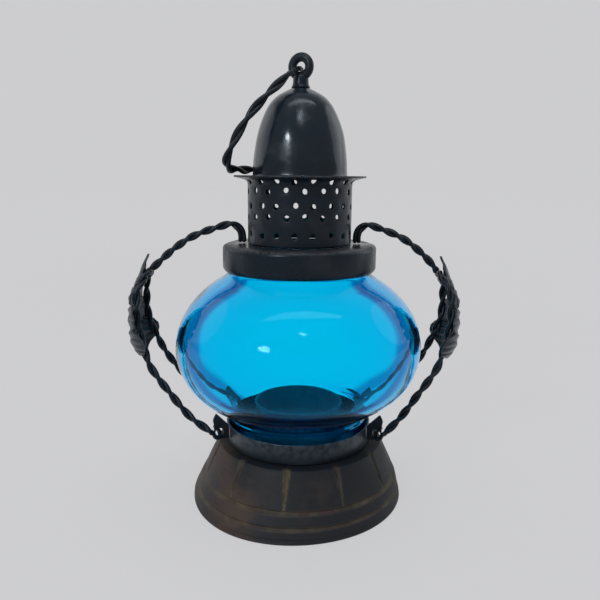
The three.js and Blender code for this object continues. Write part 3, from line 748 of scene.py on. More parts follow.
def cap_shape(size, place):
    """The cap: an upright side that curls in at its foot, a quarter round shoulder and a flat
    plate with a mouth, as a sheet turned round Z. The shoulder dips in slow waves, as pressed by
    hand."""
    rim, bend, top = size.cap_radius, size.cap_shoulder, place.cap_top
    rise = np.concatenate([[0, 0.3, 0.7, 1.2, 1.8], np.linspace(2.6, size.cap_depth - bend, 6)[:-1]])
    curl = 0.9 * np.clip(1 - rise / 1.8, 0, 1) ** 2
    side = np.stack([rim - curl, top - size.cap_depth + rise], -1)
    plate = np.linspace([rim - bend, top], [size.sleeve_radius - SHEET, top], 7)[1:]
    outline = sheet_outline(np.concatenate([side, shoulder(rim, top, bend, 10), plate]), SHEET)
    points, angle = turned(outline, 240), full_turn(240)[None, :]
    radius, height = outline.T[:, :, None]
    upper = smoothstep(top - bend - 1, top - 0.5, height) * smoothstep(26.5, 31, radius)
    dip = 0.12 * np.sin(5 * angle + 0.7) + 0.1 * np.sin(9 * angle + 2) + 0.05 * np.sin(17 * angle)
    points[:, :, 2] += upper * (dip - 0.15)
    # the shoulder's top is marked paler: rubbed paint and a painted highlight of its light line
    wear = smoothstep(top - 1.6, top - 0.3, height) * smoothstep(30, 34, radius)
    return [patch(points, True, True, wear=wear)]


def sleeve_line(size, place):
    """The sleeve's outer side as [radius, height] against the length along it: upright, then a
    flare whose slope turns evenly through 80 degrees."""
    turn = np.radians(np.linspace(0, 80, 40))
    flare_foot = place.brim_top - SHEET - size.flare_height
    flare = np.stack([
        size.sleeve_radius + size.brim_reach * (1 - np.cos(turn)) / (1 - np.cos(turn[-1])),
        flare_foot + size.flare_height * np.sin(turn) / np.sin(turn[-1]),
    ], -1)
    wall = size.sleeve_radius
    upright = np.linspace([wall, place.sleeve_foot], [wall, flare_foot], 41)[:-1]
    line = np.concatenate([upright, flare])
    return line, running_length(line)


def sleeve_shape(size, place):
    """The perforated sleeve. Each hole sits in a cell of the wall, and a cell is a grid of two
    parameters: round the hole, and from the cell's border in to the hole, through the wall and
    back out inside. A plain strip closes the wall at its foot and one at the brim's edge. The
    holes are marked out by hand: their spacing swings as a sine of the place round the sleeve, and
    towards the back the rows sink, by half of one less the cosine of the angle."""
    line, along = sleeve_line(size, place)
    side = normals_of(line)

    def on_wall(angle, run, depth):
        run = run - np.interp(run, sink_at, sinks) * (1 - np.cos(angle)) / 2
        radius = np.interp(run, along, line[:, 0]) + np.interp(run, along, side[:, 0]) * depth
        height = np.interp(run, along, line[:, 1]) + np.interp(run, along, side[:, 1]) * depth
        return round_axis(radius, angle, height)

    holes, first_hole, swing = 17, math.radians(5), math.radians(4.3)
    row_heights = np.array([0.16, 0.423, 0.58, 0.785, 0.918]) * size.sleeve_height
    slip_size, foot_strip, edge_strip = 0.55, 3.4, 1.4
    pitch = 2 * np.pi / holes

    def angle_of(place_round):
        return first_hole + pitch * place_round - swing * np.sin(pitch * place_round)

    rows = np.interp(place.sleeve_foot + row_heights, line[:, 1], along)
    sink_at = np.concatenate([[0], rows, [along[-1]]])
    sinks = np.array([0, 0.4, 2.2, 1.9, 0.9, 0.4, 0])
    middles = (rows[1:] + rows[:-1]) / 2
    lows = np.concatenate([[rows[0] - foot_strip], middles])
    highs = np.concatenate([middles, [along[-1] - edge_strip]])
    starts = [0.5, 0.0, 0.5, 0.0, 0.5]
    ends = np.linspace(-0.5, 0.5, 9)
    ups = np.linspace(0, 1, 5)
    border_x = np.concatenate([ends[:-1], np.full(4, 0.5), ends[:0:-1], np.full(4, -0.5)])
    border_up = np.concatenate([np.zeros(8), ups[:-1], np.ones(8), ups[:0:-1]])
    depth = np.array([0, 0, 0.05, 0.18, SHEET - 0.15, SHEET + 0.1, SHEET, SHEET])[:, None]
    wear = np.array([0, 0, 0.6, 0.6, 0, 0, 0, 0])[:, None]
    patches = []
    for row, low, high, start in zip(rows, lows, highs, starts):
        up = low + (high - low) * border_up - row
        for number in range(holes):
            middle = angle_of(start + number)
            across = (angle_of(start + number + border_x) - middle) * size.sleeve_radius
            slip = slip_size * np.array([
                math.sin(2.4 * number + row), 0.6 * math.sin(3.7 * number + 2 * row),
            ])
            heading = np.arctan2(up - slip[1], across - slip[0])
            ring, border = np.stack([np.cos(heading), np.sin(heading)], -1), np.stack([across, up], -1)
            wide, bevel, tight = (slip + ring * (size.hole_radius + more) for more in (0.36, 0.15, 0.0))
            flat = np.stack([border, wide, bevel, tight, tight, bevel, wide, border])
            points = on_wall(middle + flat[:, :, 0] / size.sleeve_radius, row + flat[:, :, 1], depth)
            patches.append(patch(points, False, True, wear=wear))
    angle = angle_of(np.arange(holes * 8) / 8)[None, :]
    half = np.radians(np.linspace(0, 180, 7))[1:-1, None]
    for run, end, out in ((lows[0], SHEET / 2, -1), (highs[-1], along[-1] - SHEET / 2, 1)):
        walk = np.linspace(run, end, 5)[:, None]
        tip = end + out * SHEET / 2 * np.sin(half)
        tip_depth = SHEET / 2 * (1 - np.cos(half))
        runs = np.concatenate([walk, tip, walk[::-1]])
        depths = np.concatenate([walk * 0, tip_depth, walk * 0 + SHEET])
        # the brim's rounded edge takes the full mark: rubbed paint and a painted highlight of its light rim
        # line
        edge_wear_and_highlight = np.concatenate([walk * 0, tip * 0 + 1, walk * 0]) * (out > 0)
        edge = on_wall(angle + runs * 0, runs + angle * 0, depths)
        patches.append(patch(edge, False, True, wear=edge_wear_and_highlight))
    return patches


def dome_line(size, place):
    """The dome's outer side: a flat lip, nearly upright walls and a bullet-shaped crown, drawn
    as one smooth curve through shares of the radius and the height."""
    crown = np.array([
        [1.006, 0.03], [1, 0.06], [0.99, 0.18], [0.95, 0.36], [0.91, 0.48], [0.845, 0.6],
        [0.752, 0.7225], [0.64, 0.83], [0.5, 0.91], [0.34, 0.963], [0.24, 0.99],
    ]) * [size.dome_radius, size.dome_height] + [0, place.dome_foot]
    crown = curve_through(crown, spacing=0.7)
    wall, foot, top = size.dome_radius, place.dome_foot, place.dome_top
    lip = [[size.lip_radius, foot], [wall + 2.2, foot], [wall + 1.0, foot + 0.06], [wall + 0.45, foot + 0.5]]
    return np.concatenate([lip, crown, [[4.6, top], [2.5, top]]])


def dome_shape(size, place):
    """The dome: its side as a sheet turned round Z, with slow dents round it."""
    outline = sheet_outline(dome_line(size, place), SHEET)

    def dented(angle, radius, height):
        share = (height - place.dome_foot) / size.dome_height
        body = np.sin(np.pi * np.clip(share, 0, 1)) * (radius > 6)
        return body * (0.09 * np.sin(3 * angle + 6 * share) + 0.05 * np.sin(7 * angle - 3))

    wear = bell(outline[:, 0, None], size.lip_radius, 1.6)
    return [patch(turned(outline, 200, dented), True, True, wear=wear)]


def eye_shape(size, place):
    """The eye: a flattened ring standing on a waisted neck, with a tang through the dome and a
    peened head under it. The ring is a circle carried round a circle."""
    foot, head, tang, flattened = place.dome_top + TOUCH, place.dome_top - SHEET - TOUCH, 2.2, 0.94
    neck = foot + EYE_NECK
    stem = np.array([
        [0, head - 1.4], [2.0, head - 1.35], [3.1, head - 1.0], [3.4, head - 0.3], [3.3, head],
        [tang, head], [tang, foot], [4.1, foot], [4.35, foot + 0.35], [3.9, foot + 1.0],
        [3.6, foot + 2.1], [3.55, neck], [3.5, neck + 1.0], [3.0, neck + 1.9], [1.8, neck + 2.6],
        [0, neck + 2.8],
    ])
    ring_turn, rod_turn = full_turn(72)[:, None], full_turn(20)[None, :]
    radius = size.eye_radius + size.eye_rod * np.cos(rod_turn)
    through = size.eye_rod * flattened * np.sin(rod_turn) + 0 * ring_turn
    up = radius * np.cos(ring_turn) + place.eye_centre
    ring = round_turn(radius * np.sin(ring_turn), through, up, EYE_TURN)
    return [patch(turned(stem, 48), False, True, wear=0.0), patch(ring, True, True, wear=0.25)]


def bail_shape(wires, top, place):
    """The bail: a closed, stirrup-shaped loop that leans on the brim. It is one wire in the eye,
    and a twisted pair from there on."""
    one_wire, two_wires, first_twist = 4.0, 8.5, math.radians(60)
    across = np.array([math.sin(EYE_TURN), -math.cos(EYE_TURN), 0])
    eye = np.array([0, 0, place.eye_centre])
    foot_radius = top.dome_radius + 2 * wires.bail_wire + BAIL_PLAY
    foot_height = place.brim_top + 2 * wires.bail_wire + TOUCH
    foot = np.array([
        -math.cos(EYE_TURN) * foot_radius, -math.sin(EYE_TURN) * foot_radius, foot_height,
    ])
    down, size = unit(foot - eye), np.linalg.norm(foot - eye)
    shares = np.array([
        [0.135, 0.036], [0.277, 0.086], [0.397, 0.15], [0.569, 0.243], [0.723, 0.346],
        [0.873, 0.46], [0.974, 0.62], [1, 0.781], [0.948, 0.912], [0.764, 0.985], [0.39, 0.998],
    ])
    loop = np.concatenate([shares, [[0, 1]], (shares * [-1, 1])[::-1]])
    loop = eye + loop[:, :1] * wires.bail_half_width * across + loop[:, 1:] * size * down
    first = eye + down * (top.eye_radius - top.eye_rod - wires.bail_wire - TOUCH)
    path = curve_through(np.concatenate([[first], loop]), closed=True)
    share = np.arange(len(path)) / len(path)
    around = np.linalg.norm(np.roll(path, -1, 0) - path, axis=1).sum()
    from_eye = np.minimum(share, 1 - share) * around
    opening = smoothstep(one_wire, two_wires, from_eye)
    twist = 2 * np.pi * wires.bail_turns * share - first_twist
    square = np.broadcast_to(np.cross(across, down), path.shape)
    return twisted_pair(path, wires.bail_wire, square, twist, opening, closed=True)


def reach_of(wires, side):
    """How far out the frame on that side stands."""
    return wires.left_reach if side < 0 else wires.right_reach


def hoop_top(wires, place, side):
    """The top of a hoop's bend, where the upper arm ends, for the frame on that side. X counts
    outwards."""
    bent_in, under_cap = 5.6, 14.3
    return np.array([reach_of(wires, side) - bent_in, 0, place.cap_top - under_cap])


def upper_arm_shape(wires, top, place, side):
    """An upper arm: a leg of two wires beside each other on the cap, an arch and a long sweep out
    and down to the hoop, with a half twist every 7.7 mm."""
    half_twist, untwisted, slope = 7.7, 7.0, math.radians(48)
    leg_play, arch_reach, arch_height = 0.9, 4.9, 9.1
    reach = reach_of(wires, side)
    leg = top.sleeve_radius + 2 * wires.arm_wire + leg_play
    crown, crown_top = leg + arch_reach, place.cap_top + arch_height
    seat = 2 * wires.arm_wire + 1.2 * TOUCH
    end = hoop_top(wires, place, side) + seat * np.array([-math.cos(slope), 0, math.sin(slope)])
    sweep = np.array([
        [0, 0], [0.13, 0.07], [0.29, 0.18], [0.42, 0.296], [0.53, 0.44], [0.65, 0.63], [0.755, 0.829],
    ])
    sweep = np.stack([
        crown + (reach - crown) * sweep[:, 0], sweep[:, 0] * 0,
        crown_top - (crown_top - end[2]) * sweep[:, 1],
    ], -1)
    points = np.concatenate([
        [[leg, 0, place.cap_top + TOUCH + wires.arm_wire], [leg, 0, place.cap_top + 3.6],
         [leg + 1.0, 0, place.cap_top + 6.6]],
        sweep, [end],
    ])
    path = curve_through(points * [side, 1, 1])
    from_leg = np.arange(len(path)) * WIRE_STEP
    twist = np.pi / 2 + side * np.pi / half_twist * np.maximum(from_leg - untwisted, 0)
    square = np.broadcast_to(np.array([0, 1.0, 0]), path.shape)
    return twisted_pair(path, wires.arm_wire, square, twist)


def hoop_shape(wires, place, side):
    """A hoop: from its hook in the front ear, up behind the leaf, over and down to the back ear.
    It is one wire in the hooks and a pair with a half twist every 9 mm from there on. The left
    one is bent out a little more than the right one."""
    hook_size, half_twist, one_wire, two_wires = 2.6, 9.0, 8.8, 13.3
    reach = reach_of(wires, side)
    hole_at, hole_height = place.ear_hole
    out, left, up = hook_size * np.array([
        [0.54, -1, 0.69], [0.08, -0.77, 0.15], [0, 0, 0], [0.2, 0.85, -0.7], [1.0, 1.05, -0.55],
        [1.75, 1, 0.5],
    ]).T
    hook = round_turn(hole_at + out, -left, hole_height + up, math.radians(-EAR_DEGREES))
    climb = np.array([
        [0.09, 0.19], [0.195, 0.34], [0.3, 0.475], [0.41, 0.625],
        [0.53, 0.765], [0.65, 0.865], [0.775, 0.96], [0.9, 1.0],
    ])
    climb[:, 1] **= 0.85 if side < 0 else 1.0
    top, half = hoop_top(wires, place, side), wires.hoop_half_width
    bend_foot, climb_foot = top[2] - half, hole_at + out[0]
    leg = np.stack([
        climb_foot + (reach - climb_foot) * climb[:, 1],
        -half - wires.hoop_splay * (1 - climb[:, 0]) ** 1.5,
        place.pan_top + (bend_foot - place.pan_top) * climb[:, 0],
    ], -1)
    turn = np.radians([0, 22, 45, 68])
    bend = np.stack([
        reach - (reach - top[0]) * np.sin(turn) ** 3, -half * np.cos(turn),
        bend_foot + half * np.sin(turn),
    ], -1)
    front = np.concatenate([hook, leg, bend])
    back = (front * [1, -1, 1])[::-1]
    inward = np.concatenate([out * 0, smoothstep(0.5, 0.8, climb[:, 0]), np.cos(turn)])
    front[:, 0] -= wires.toe_in * inward
    points = np.concatenate([front, [top], back]) * [side, 1, 1]
    path = curve_through(points)
    along = np.arange(len(path)) * WIRE_STEP
    opening = smoothstep(one_wire, two_wires, np.minimum(along, along[::-1]))
    outward = path - [0, 0, place.globe_centre]
    return twisted_pair(path, wires.arm_wire, outward, np.pi / half_twist * along, opening)


def ear_shape(base, globe, place, degrees):
    """An ear: an upright plate with a hole. The plate is a grid of two parameters: round the
    hole, and out from the hole over one face, round the edge and back over the other face."""
    root, tip, hole = base.pan_radius + TOUCH, base.pan_radius + EAR_REACH, place.ear_hole
    hole_radius, half_sheet, steps = 2.0, 0.5, 120

    def under(radius, share):
        side = globe.half_height * math.sqrt(1 - (radius / globe.radius) ** 2)
        return place.pan_top + share * (place.globe_centre - side - TOUCH - place.pan_top)

    outline = softened([
        [root, hole[1] - 4.0], [tip - 2.2, hole[1] - 3.2], [tip - 0.4, hole[1] - 1.3],
        [tip - 0.6, hole[1] + 2.9], [tip, under(tip, 0.49)], [tip - 1.6, under(tip - 1.6, 1)],
        [root + 1.2, under(root + 1.2, 0.49)], [root, under(root, 0.18)],
    ], np.array([0.3, 1.2, 1.0, 1.2, 0.9, 0.9, 0.6, 0.3]), 6)
    ring = np.concatenate([outline, outline[:1]])
    along = running_length(ring)
    even = np.linspace(0, along[-1], steps + 1)[:-1]
    rim = np.stack([np.interp(even, along, column) for column in ring.T], -1)
    inner = hole + unit(rim - hole) * hole_radius
    shares = np.array([0.0, 0.05, 0.5, 0.97, 1.0])
    depths = np.array([0.75, 1, 1, 1, 0.7])
    wear = np.array([0.5, 0.2, 0, 0.4, 1])
    flat = inner + (rim - inner) * np.concatenate([shares, shares[::-1]])[:, None, None]
    off = half_sheet * np.concatenate([-depths, depths[::-1]])[:, None] + 0 * flat[:, :, 0]
    points = round_turn(flat[:, :, 0], off, flat[:, :, 1], math.radians(degrees))
    return [patch(points, True, True, wear=np.concatenate([wear, wear[::-1]])[:, None])]


def leaf_shape(leaf, wires, place, side):
    """A leaf: a thin sheet over [across, up]. Smooth curves of the height give its half width,
    how far its rib stands out and how far its sides cup in, by the fourth power of the share
    across. Teeth ripple the edge, and ridges along a midrib and slanting side veins are bell
    curves of the distance from each."""
    vein_slope, vein_width, vein_gap, tooth = 0.55, 0.627, 5.4, 2.9
    tip_drop, pressed_in = 5.7, 0.25
    rows = np.array([
        [0, 0.2, -0.1, 0.03], [0.04, 0.6, -0.03, 0.12], [0.1, 0.88, 0.05, 0.33],
        [0.17, 0.98, 0.1, 0.42], [0.24, 0.95, 0.12, 0.36], [0.31, 0.84, 0.13, 0.22],
        [0.38, 0.92, 0.12, 0.2], [0.45, 0.96, 0.11, 0.2], [0.51, 0.86, 0.1, 0.12],
        [0.57, 0.76, 0.09, 0.06], [0.63, 0.74, 0.06, 0.05], [0.69, 0.64, 0.02, 0.05],
        [0.76, 0.42, -0.05, 0.05], [0.83, 0.22, -0.12, 0.05], [0.9, 0.09, -0.18, 0.02],
        [1, 0.02, -0.289, 0.005],
    ]) * [leaf.leaf_length, leaf.half_width, leaf.half_width, leaf.half_width]
    rows = curve_through(rows, spacing=0.42)
    up, half, rib, cup = (rows[:, k, None] for k in range(4))
    foot = place.cap_top - tip_drop - leaf.leaf_length
    back = reach_of(wires, side) + 2 * wires.arm_wire + TOUCH
    share = np.sin(np.pi / 2 * np.linspace(-1, 1, 71))[None, :]
    teeth = 1 + 0.045 * np.abs(np.sin(np.pi * up / tooth)) * smoothstep(0.3, 1.0, half / 12)
    for notch in (0.3, 0.53, 0.7):
        teeth = teeth - 0.3 * bell(up, notch * leaf.leaf_length, 1.1)
    y = share * half * teeth
    ridge = 0.9 * bell(y, 0, 0.8) * smoothstep(0, 3, half)
    from_vein = up - vein_slope * np.abs(y)
    for start in (0.04, 0.13, 0.25, 0.36, 0.47, 0.6, 0.72):
        vein = 0.75 * bell(from_vein, start * leaf.leaf_length, vein_width)
        ridge = np.maximum(ridge, vein * smoothstep(1.02, 0.75, np.abs(share)))
    pillow = 0.25 * np.sin(2 * np.pi * from_vein / vein_gap) * smoothstep(0, 0.5, np.abs(share))
    relief = leaf.vein_height * (ridge + pillow)
    toe_in = wires.toe_in / 2 * (1 - y / wires.hoop_half_width)
    x = back + rib - cup * share ** 4 + relief - pressed_in - toe_in
    thin = leaf.sheet / 2 * smoothstep(1.0, 0.96, np.abs(share)) ** 0.5
    z = foot + up + 0 * share
    outer = np.stack([side * (x + thin), y, z], -1)
    inner = np.stack([side * (x - thin), y, z], -1)[:, ::-1]
    points = np.concatenate([outer, inner[:, 1:-1]], 1)
    first, last = (np.broadcast_to(row.mean(0), (1, *row.shape)) for row in (points[0], points[-1]))
    wear = np.clip(0.6 * ridge + 0.6 * np.abs(share) ** 14, 0, 1)
    wear = np.concatenate([wear, wear[:, ::-1][:, 1:-1]], 1)
    wear = np.concatenate([wear[:1], wear, wear[-1:]])
    return [patch(np.concatenate([first, points, last]), False, True, wear=wear)]


# The pieces, one operator each or for each group of like pieces


class LANTERN_OT_wooden_base(bpy.types.Operator):
    """Turn the wooden base, with its two rings and its carved flutes"""

    bl_idname = "lantern.wooden_base"
    bl_label = "Wooden base"

    def execute(self, context):
        size = lantern_sizes(context.scene)
        tone = size.tone
        finish = stained_wood("stained wood", tone.wood_dark, tone.wood_brown, tone.wood_worn)
        shape = carved_base(size.base, size.place)
        add_piece("turned_base", shape, "lantern", ["wood_base"], finish, 32)
        return {"FINISHED"}


class LANTERN_OT_pan_and_cup(bpy.types.Operator):
    """Form the iron pan and the candle cup, and finish the screw that holds them"""

    bl_idname = "lantern.pan_and_cup"
    bl_label = "Pan and candle cup"

    def execute(self, context):
        size = lantern_sizes(context.scene)
        tone = size.tone
        # the pan's pale inside colour is partly painted light
        finish = painted_iron("pan iron", tone.iron, tone.bare, wear=1.0, gloss=0.6, dusty=0.04)
        shape = pan_shape(size.base, size.place)
        add_piece("iron_pan", shape, "lantern", ["base_pan"], finish)
        # the cup's light colour is painted light
        finish = painted_iron("cup iron", tone.cup, tone.iron_worn, 0.42, 0.6)
        shape = cup_shape(size.base, size.place)
        add_piece("tealight_cup", shape, "lantern", ["candle_cup"], finish)
        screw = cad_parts["cup_screw"]
        screw.data.materials.clear()
        screw.data.materials.append(brushed_steel("screw steel", tone.steel))
        return {"FINISHED"}


class LANTERN_OT_glass_globe(bpy.types.Operator):
    """Blow the blue glass globe"""

    bl_idname = "lantern.glass_globe"
    bl_label = "Glass globe"

    def execute(self, context):
        size = lantern_sizes(context.scene)
        finish = blown_glass("blue glass", size.tone.glass, 0.003)
        shape = globe_shape(size.globe, size.place)
        add_piece("blown_globe", shape, "lantern", ["glass_globe"], finish, 60)
        return {"FINISHED"}


class LANTERN_OT_cap_and_sleeve(bpy.types.Operator):
    """Press the cap and the perforated sleeve with its flared brim"""

    bl_idname = "lantern.cap_and_sleeve"
    bl_label = "Cap and perforated sleeve"

    def execute(self, context):
        size = lantern_sizes(context.scene)
        tone = size.tone
        finish = painted_iron("cap iron", tone.iron, tone.iron_worn, 0.3, 0.9)
        shape = cap_shape(size.top, size.place)
        add_piece("neck_cap", shape, "lantern", ["globe_cap"], finish)
        finish = painted_iron("sleeve iron", tone.iron, tone.iron_worn, wear=0.7, gloss=0.42)
        shape = sleeve_shape(size.top, size.place)
        add_piece("pierced_sleeve", shape, "lantern", ["perforated_sleeve"], finish, 50)
        return {"FINISHED"}


class LANTERN_OT_dome(bpy.types.Operator):
    """Raise the dome lid and set the eye on it"""

    bl_idname = "lantern.dome"
    bl_label = "Dome and eye"

    def execute(self, context):
        size = lantern_sizes(context.scene)
        tone = size.tone
        finish = painted_iron("dome iron", tone.iron, tone.iron_worn, 0.21, 0.9, 0.6)
        shape = dome_shape(size.top, size.place)
        add_piece("bullet_dome", shape, "lid", ["dome_lid"], finish)
        finish = painted_iron("eye iron", tone.iron, tone.iron_worn, 0.38, 0.6)
        shape = eye_shape(size.top, size.place)
        add_piece("eye_ring", shape, "lid", ["dome_eye"], finish)
        return {"FINISHED"}


class LANTERN_OT_bail(bpy.types.Operator):
    """Twist the wire bail and thread it through the eye"""

    bl_idname = "lantern.bail"
    bl_label = "Bail"

    def execute(self, context):
        size = lantern_sizes(context.scene)
        finish = painted_iron("bail wire", size.tone.wire, size.tone.iron_worn)
        shape = bail_shape(size.wires, size.top, size.place)
        add_piece("twisted_bail", shape, "bail", ["bail"], finish, 60)
        return {"FINISHED"}


class LANTERN_OT_side_frames(bpy.types.Operator):
    """Twist the arms and the hoops of both side frames, and cut the ears that hold them"""

    bl_idname = "lantern.side_frames"
    bl_label = "Side frames"

    def execute(self, context):
        size = lantern_sizes(context.scene)
        tone = size.tone
        wires, place = size.wires, size.place
        finish = painted_iron("frame wire", tone.wire, tone.iron_worn)
        for name, side in SIDES:
            shape = upper_arm_shape(wires, size.top, place, side)
            add_piece(f"wire_arm_{name}", shape, "lantern", [f"upper_arm_{name}"], finish, 60)
            shape = hoop_shape(wires, place, side)
            add_piece(f"wire_hoop_{name}", shape, "lantern", [f"leaf_hoop_{name}"], finish, 60)
        finish = painted_iron("ear iron", tone.iron, tone.iron_worn, 0.38, 0.7)
        for name, degrees in (
            ("front_right", -EAR_DEGREES), ("back_right", EAR_DEGREES),
            ("front_left", 180 + EAR_DEGREES), ("back_left", 180 - EAR_DEGREES),
        ):
            shape = ear_shape(size.base, size.globe, place, degrees)
            add_piece(f"plate_ear_{name}", shape, "lantern", [f"ear_{name}"], finish)
        return {"FINISHED"}


class LANTERN_OT_leaves(bpy.types.Operator):
    """Stamp the two veined leaves"""

    bl_idname = "lantern.leaves"
    bl_label = "Leaves"

    def execute(self, context):
        size = lantern_sizes(context.scene)
        finish = painted_iron("leaf iron", size.tone.leaf, size.tone.iron_worn, wear=0.9, gloss=0.5)
        for name, side in SIDES:
            shape = leaf_shape(size.leaf, size.wires, size.place, side)
            add_piece(f"stamped_leaf_{name}", shape, "lantern", [f"leaf_{name}"], finish, 50)
        return {"FINISHED"}


# The stage

LAMPS = (
    # name, azimuth and elevation in degrees, distance, width and height in metres, watts, mirrored
    ("window lamp", -33, 27, 1.1, 0.2, 0.14, 2.4, True),
    ("front lamp", 3, 53, 1.2, 0.12, 0.1, 0.8, True),
    ("ceiling lamp", 180, 82, 1.3, 0.9, 0.9, 3.6, False),
    ("crown lamp", 8, 78, 1.2, 1.3, 0.2, 2.2, True),
    ("left panel", -112, 22, 1.1, 0.8, 0.8, 0.8, True),
    ("right panel", 112, 22, 1.1, 0.8, 0.8, 1.0, True),
)
LAMP_AIM = Vector((0, 0, 0.11))
THROUGH_GLASS = 1.6      # level of floor and surround behind the glass


def add_lamp(scene, name, azimuth, elevation, distance, wide, tall, watts, mirrored):
    """A soft, plain lamp that faces the lantern. The azimuth runs from the front towards +X.
    Unless it is mirrored, the lamp lights the pieces but isn't seen in them."""
    lamp = bpy.data.lights.new(name, "AREA")
    lamp.shape, lamp.size, lamp.size_y, lamp.energy = "ELLIPSE", wide, tall, watts
    turn, rise = math.radians(azimuth), math.radians(elevation)
    away = Vector((
        math.sin(turn) * math.cos(rise), -math.cos(turn) * math.cos(rise), math.sin(rise),
    ))
    holder = bpy.data.objects.new(name, lamp)
    holder.location = LAMP_AIM + away * distance
    holder.rotation_euler = away.to_track_quat("Z", "Y").to_euler()
    holder.visible_camera = False
    holder.visible_transmission = False
    holder.visible_glossy = mirrored
    scene.collection.objects.link(holder)


def mixed_out(tree, out, share, one, other):
    """Two shaders, each a kind and its inputs, mixed by the share and fed into the output."""
    one, other = (add_node(tree, kind, inputs).outputs[0] for kind, inputs in (one, other))
    put_out(tree, out, "ShaderNodeMixShader", {0: share, 1: one, 2: other})


def ray_kinds(tree):
    """1 where a ray comes from the camera, from a mirroring surface or through glass, else 0."""
    rays = add_node(tree, "ShaderNodeLightPath").outputs
    return [rays[f"Is {kind} Ray"] for kind in ("Camera", "Glossy", "Transmission")]


def pale_floor(pale):
    """The floor's finish: matt where the pieces' light and shadow fall. What the camera, the
    mirroring paint and the glass see of it has levels of its own, so that it meets the surround
    without a line."""
    finish, tree, where, out = new_finish("pale floor")
    camera, glossy, through = ray_kinds(tree)
    seen = calculated(tree, "MAXIMUM", times(tree, camera, 0.85), glossy)
    seen = calculated(tree, "MAXIMUM", seen, through)
    away = add_node(tree, "ShaderNodeVectorMath", {0: where}, operation="LENGTH").outputs["Value"]
    behind = part_of(tree, where, "Y")
    level = times(tree, camera, spread(tree, away, 0.2, 1.8, 1.036, 1.105))
    mirrored = times(tree, glossy, spread(tree, behind, -0.1, 0.03, 0.4, 1.1))
    level = calculated(tree, "MAXIMUM", level, mirrored)
    level = calculated(tree, "MAXIMUM", level, times(tree, through, THROUGH_GLASS))
    grain = spread(tree, noise(tree, where, 9, 2), 0.2, 0.8)
    matt = {"Color": blended(tree, grain, [value * 0.97 for value in pale], pale)}
    glow = {"Color": (*pale, 1), "Strength": level}
    mixed_out(tree, out, seen, ("ShaderNodeBsdfDiffuse", matt), ("ShaderNodeEmission", glow))
    return finish


def pale_surround(world, pale):
    """The surround: pale for the camera and through the glass, dim where it only lights the
    pieces, and in their mirroring paint dim in front of them and brighter behind them."""
    world.use_nodes = True
    tree = world.node_tree
    tree.nodes.clear()
    camera, glossy, through = ray_kinds(tree)
    way = add_node(tree, "ShaderNodeTexCoord").outputs["Generated"]
    behind = times(tree, glossy, spread(tree, part_of(tree, way, "Y"), 0.1, 0.85))
    dim = calculated(tree, "ADD", spread(tree, glossy, 0.0, 1.0, 0.42, 0.22), times(tree, behind, 0.5))
    air = {"Color": (1, 1, 1, 1), "Strength": dim}
    bright = spread(tree, through, 0.0, 1.0, 1.0, THROUGH_GLASS)
    wall = {"Color": (*pale, 1), "Strength": bright}
    seen = calculated(tree, "MAXIMUM", camera, through)
    out = add_node(tree, "ShaderNodeOutputWorld")
    mixed_out(tree, out, seen, ("ShaderNodeBackground", air), ("ShaderNodeBackground", wall))


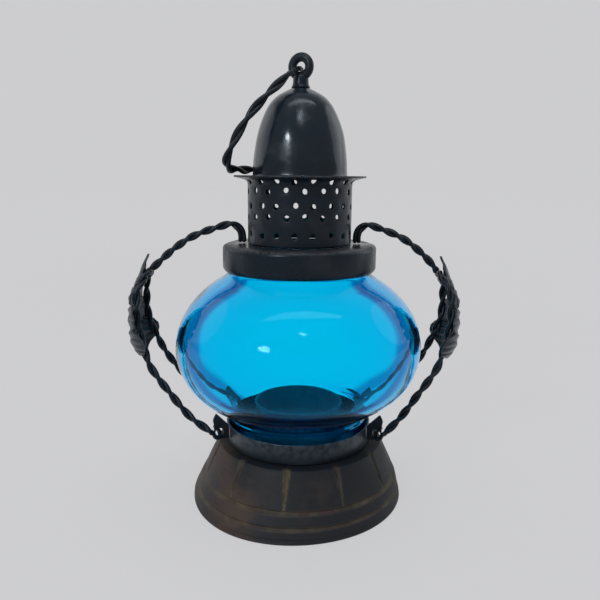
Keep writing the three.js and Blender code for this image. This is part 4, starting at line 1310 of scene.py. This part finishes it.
class LANTERN_OT_stage(bpy.types.Operator):
    """Lay the pale floor, hang the soft lamps and set the camera"""

    bl_idname = "lantern.stage"
    bl_label = "Studio"

    def execute(self, context):
        scene = context.scene
        pale = scene.lantern_finishes.floor
        scene.view_settings.view_transform = "Standard"

        half_floor, floor_height = 6.0, -0.0001
        step = np.linspace(-half_floor, half_floor, 25)
        points = np.stack(np.broadcast_arrays(step[None, :], step[:, None], floor_height), -1)
        mesh = bpy.data.meshes.new("studio_floor")
        mesh.from_pydata(points.reshape(-1, 3).tolist(), [], grid_faces(*points.shape[:2]).tolist())
        mesh.shade_smooth()
        mesh.materials.append(pale_floor(pale))
        ground = bpy.data.objects.new("studio_floor", mesh)
        scene.collection.objects.link(ground)

        scene.world = bpy.data.worlds.new("studio")
        pale_surround(scene.world, pale)
        for lamp in LAMPS:
            add_lamp(scene, *lamp)

        eye = bpy.data.cameras.new("photo camera")
        eye.lens, eye.sensor_width, eye.clip_start = 37.26, 36.0, 0.01
        camera = bpy.data.objects.new("photo camera", eye)
        place, down, roll = (0.0005, -0.299, 0.160), math.radians(11.38), math.radians(0.5)
        camera.matrix_world = (
            Matrix.Translation(place) @ Matrix.Rotation(math.radians(90) - down, 4, "X")
            @ Matrix.Rotation(roll, 4, "Z")
        )
        scene.collection.objects.link(camera)
        scene.camera = camera
        return {"FINISHED"}


PIECE_STEPS = (
    LANTERN_OT_wooden_base, LANTERN_OT_pan_and_cup, LANTERN_OT_glass_globe,
    LANTERN_OT_cap_and_sleeve, LANTERN_OT_dome, LANTERN_OT_bail, LANTERN_OT_side_frames,
    LANTERN_OT_leaves, LANTERN_OT_stage,
)
GROUPS = {
    "lantern_base": LanternBaseSizes,
    "lantern_globe": LanternGlobeSizes,
    "lantern_top": LanternTopSizes,
    "lantern_wires": LanternWireSizes,
    "lantern_leaves": LanternLeafSizes,
    "lantern_finishes": LanternFinishes,
}


class LANTERN_PT_pieces(bpy.types.Panel):
    """Lists the lantern's pieces, their sizes and their colours"""

    bl_idname = "LANTERN_PT_pieces"
    bl_label = "Lantern"
    bl_space_type = "VIEW_3D"
    bl_region_type = "UI"
    bl_category = "Lantern"

    def draw(self, context):
        for step in PIECE_STEPS:
            self.layout.operator(step.bl_idname)
        for name in GROUPS:
            box = self.layout.box()
            group = getattr(context.scene, name)
            for item in group.bl_rna.properties:
                if item.type in {"FLOAT", "INT"}:
                    box.prop(group, item.identifier)


def register():
    for kind in (*GROUPS.values(), *PIECE_STEPS, LANTERN_PT_pieces):
        bpy.utils.register_class(kind)
    for name, kind in GROUPS.items():
        setattr(bpy.types.Scene, name, bpy.props.PointerProperty(type=kind))


def unregister():
    for name in GROUPS:
        delattr(bpy.types.Scene, name)
    for kind in reversed((*GROUPS.values(), *PIECE_STEPS, LANTERN_PT_pieces)):
        bpy.utils.unregister_class(kind)


def main():
    register()
    for step in PIECE_STEPS:
        getattr(bpy.ops.lantern, step.bl_idname.split(".")[1])()


if __name__ == "__main__":
    main()
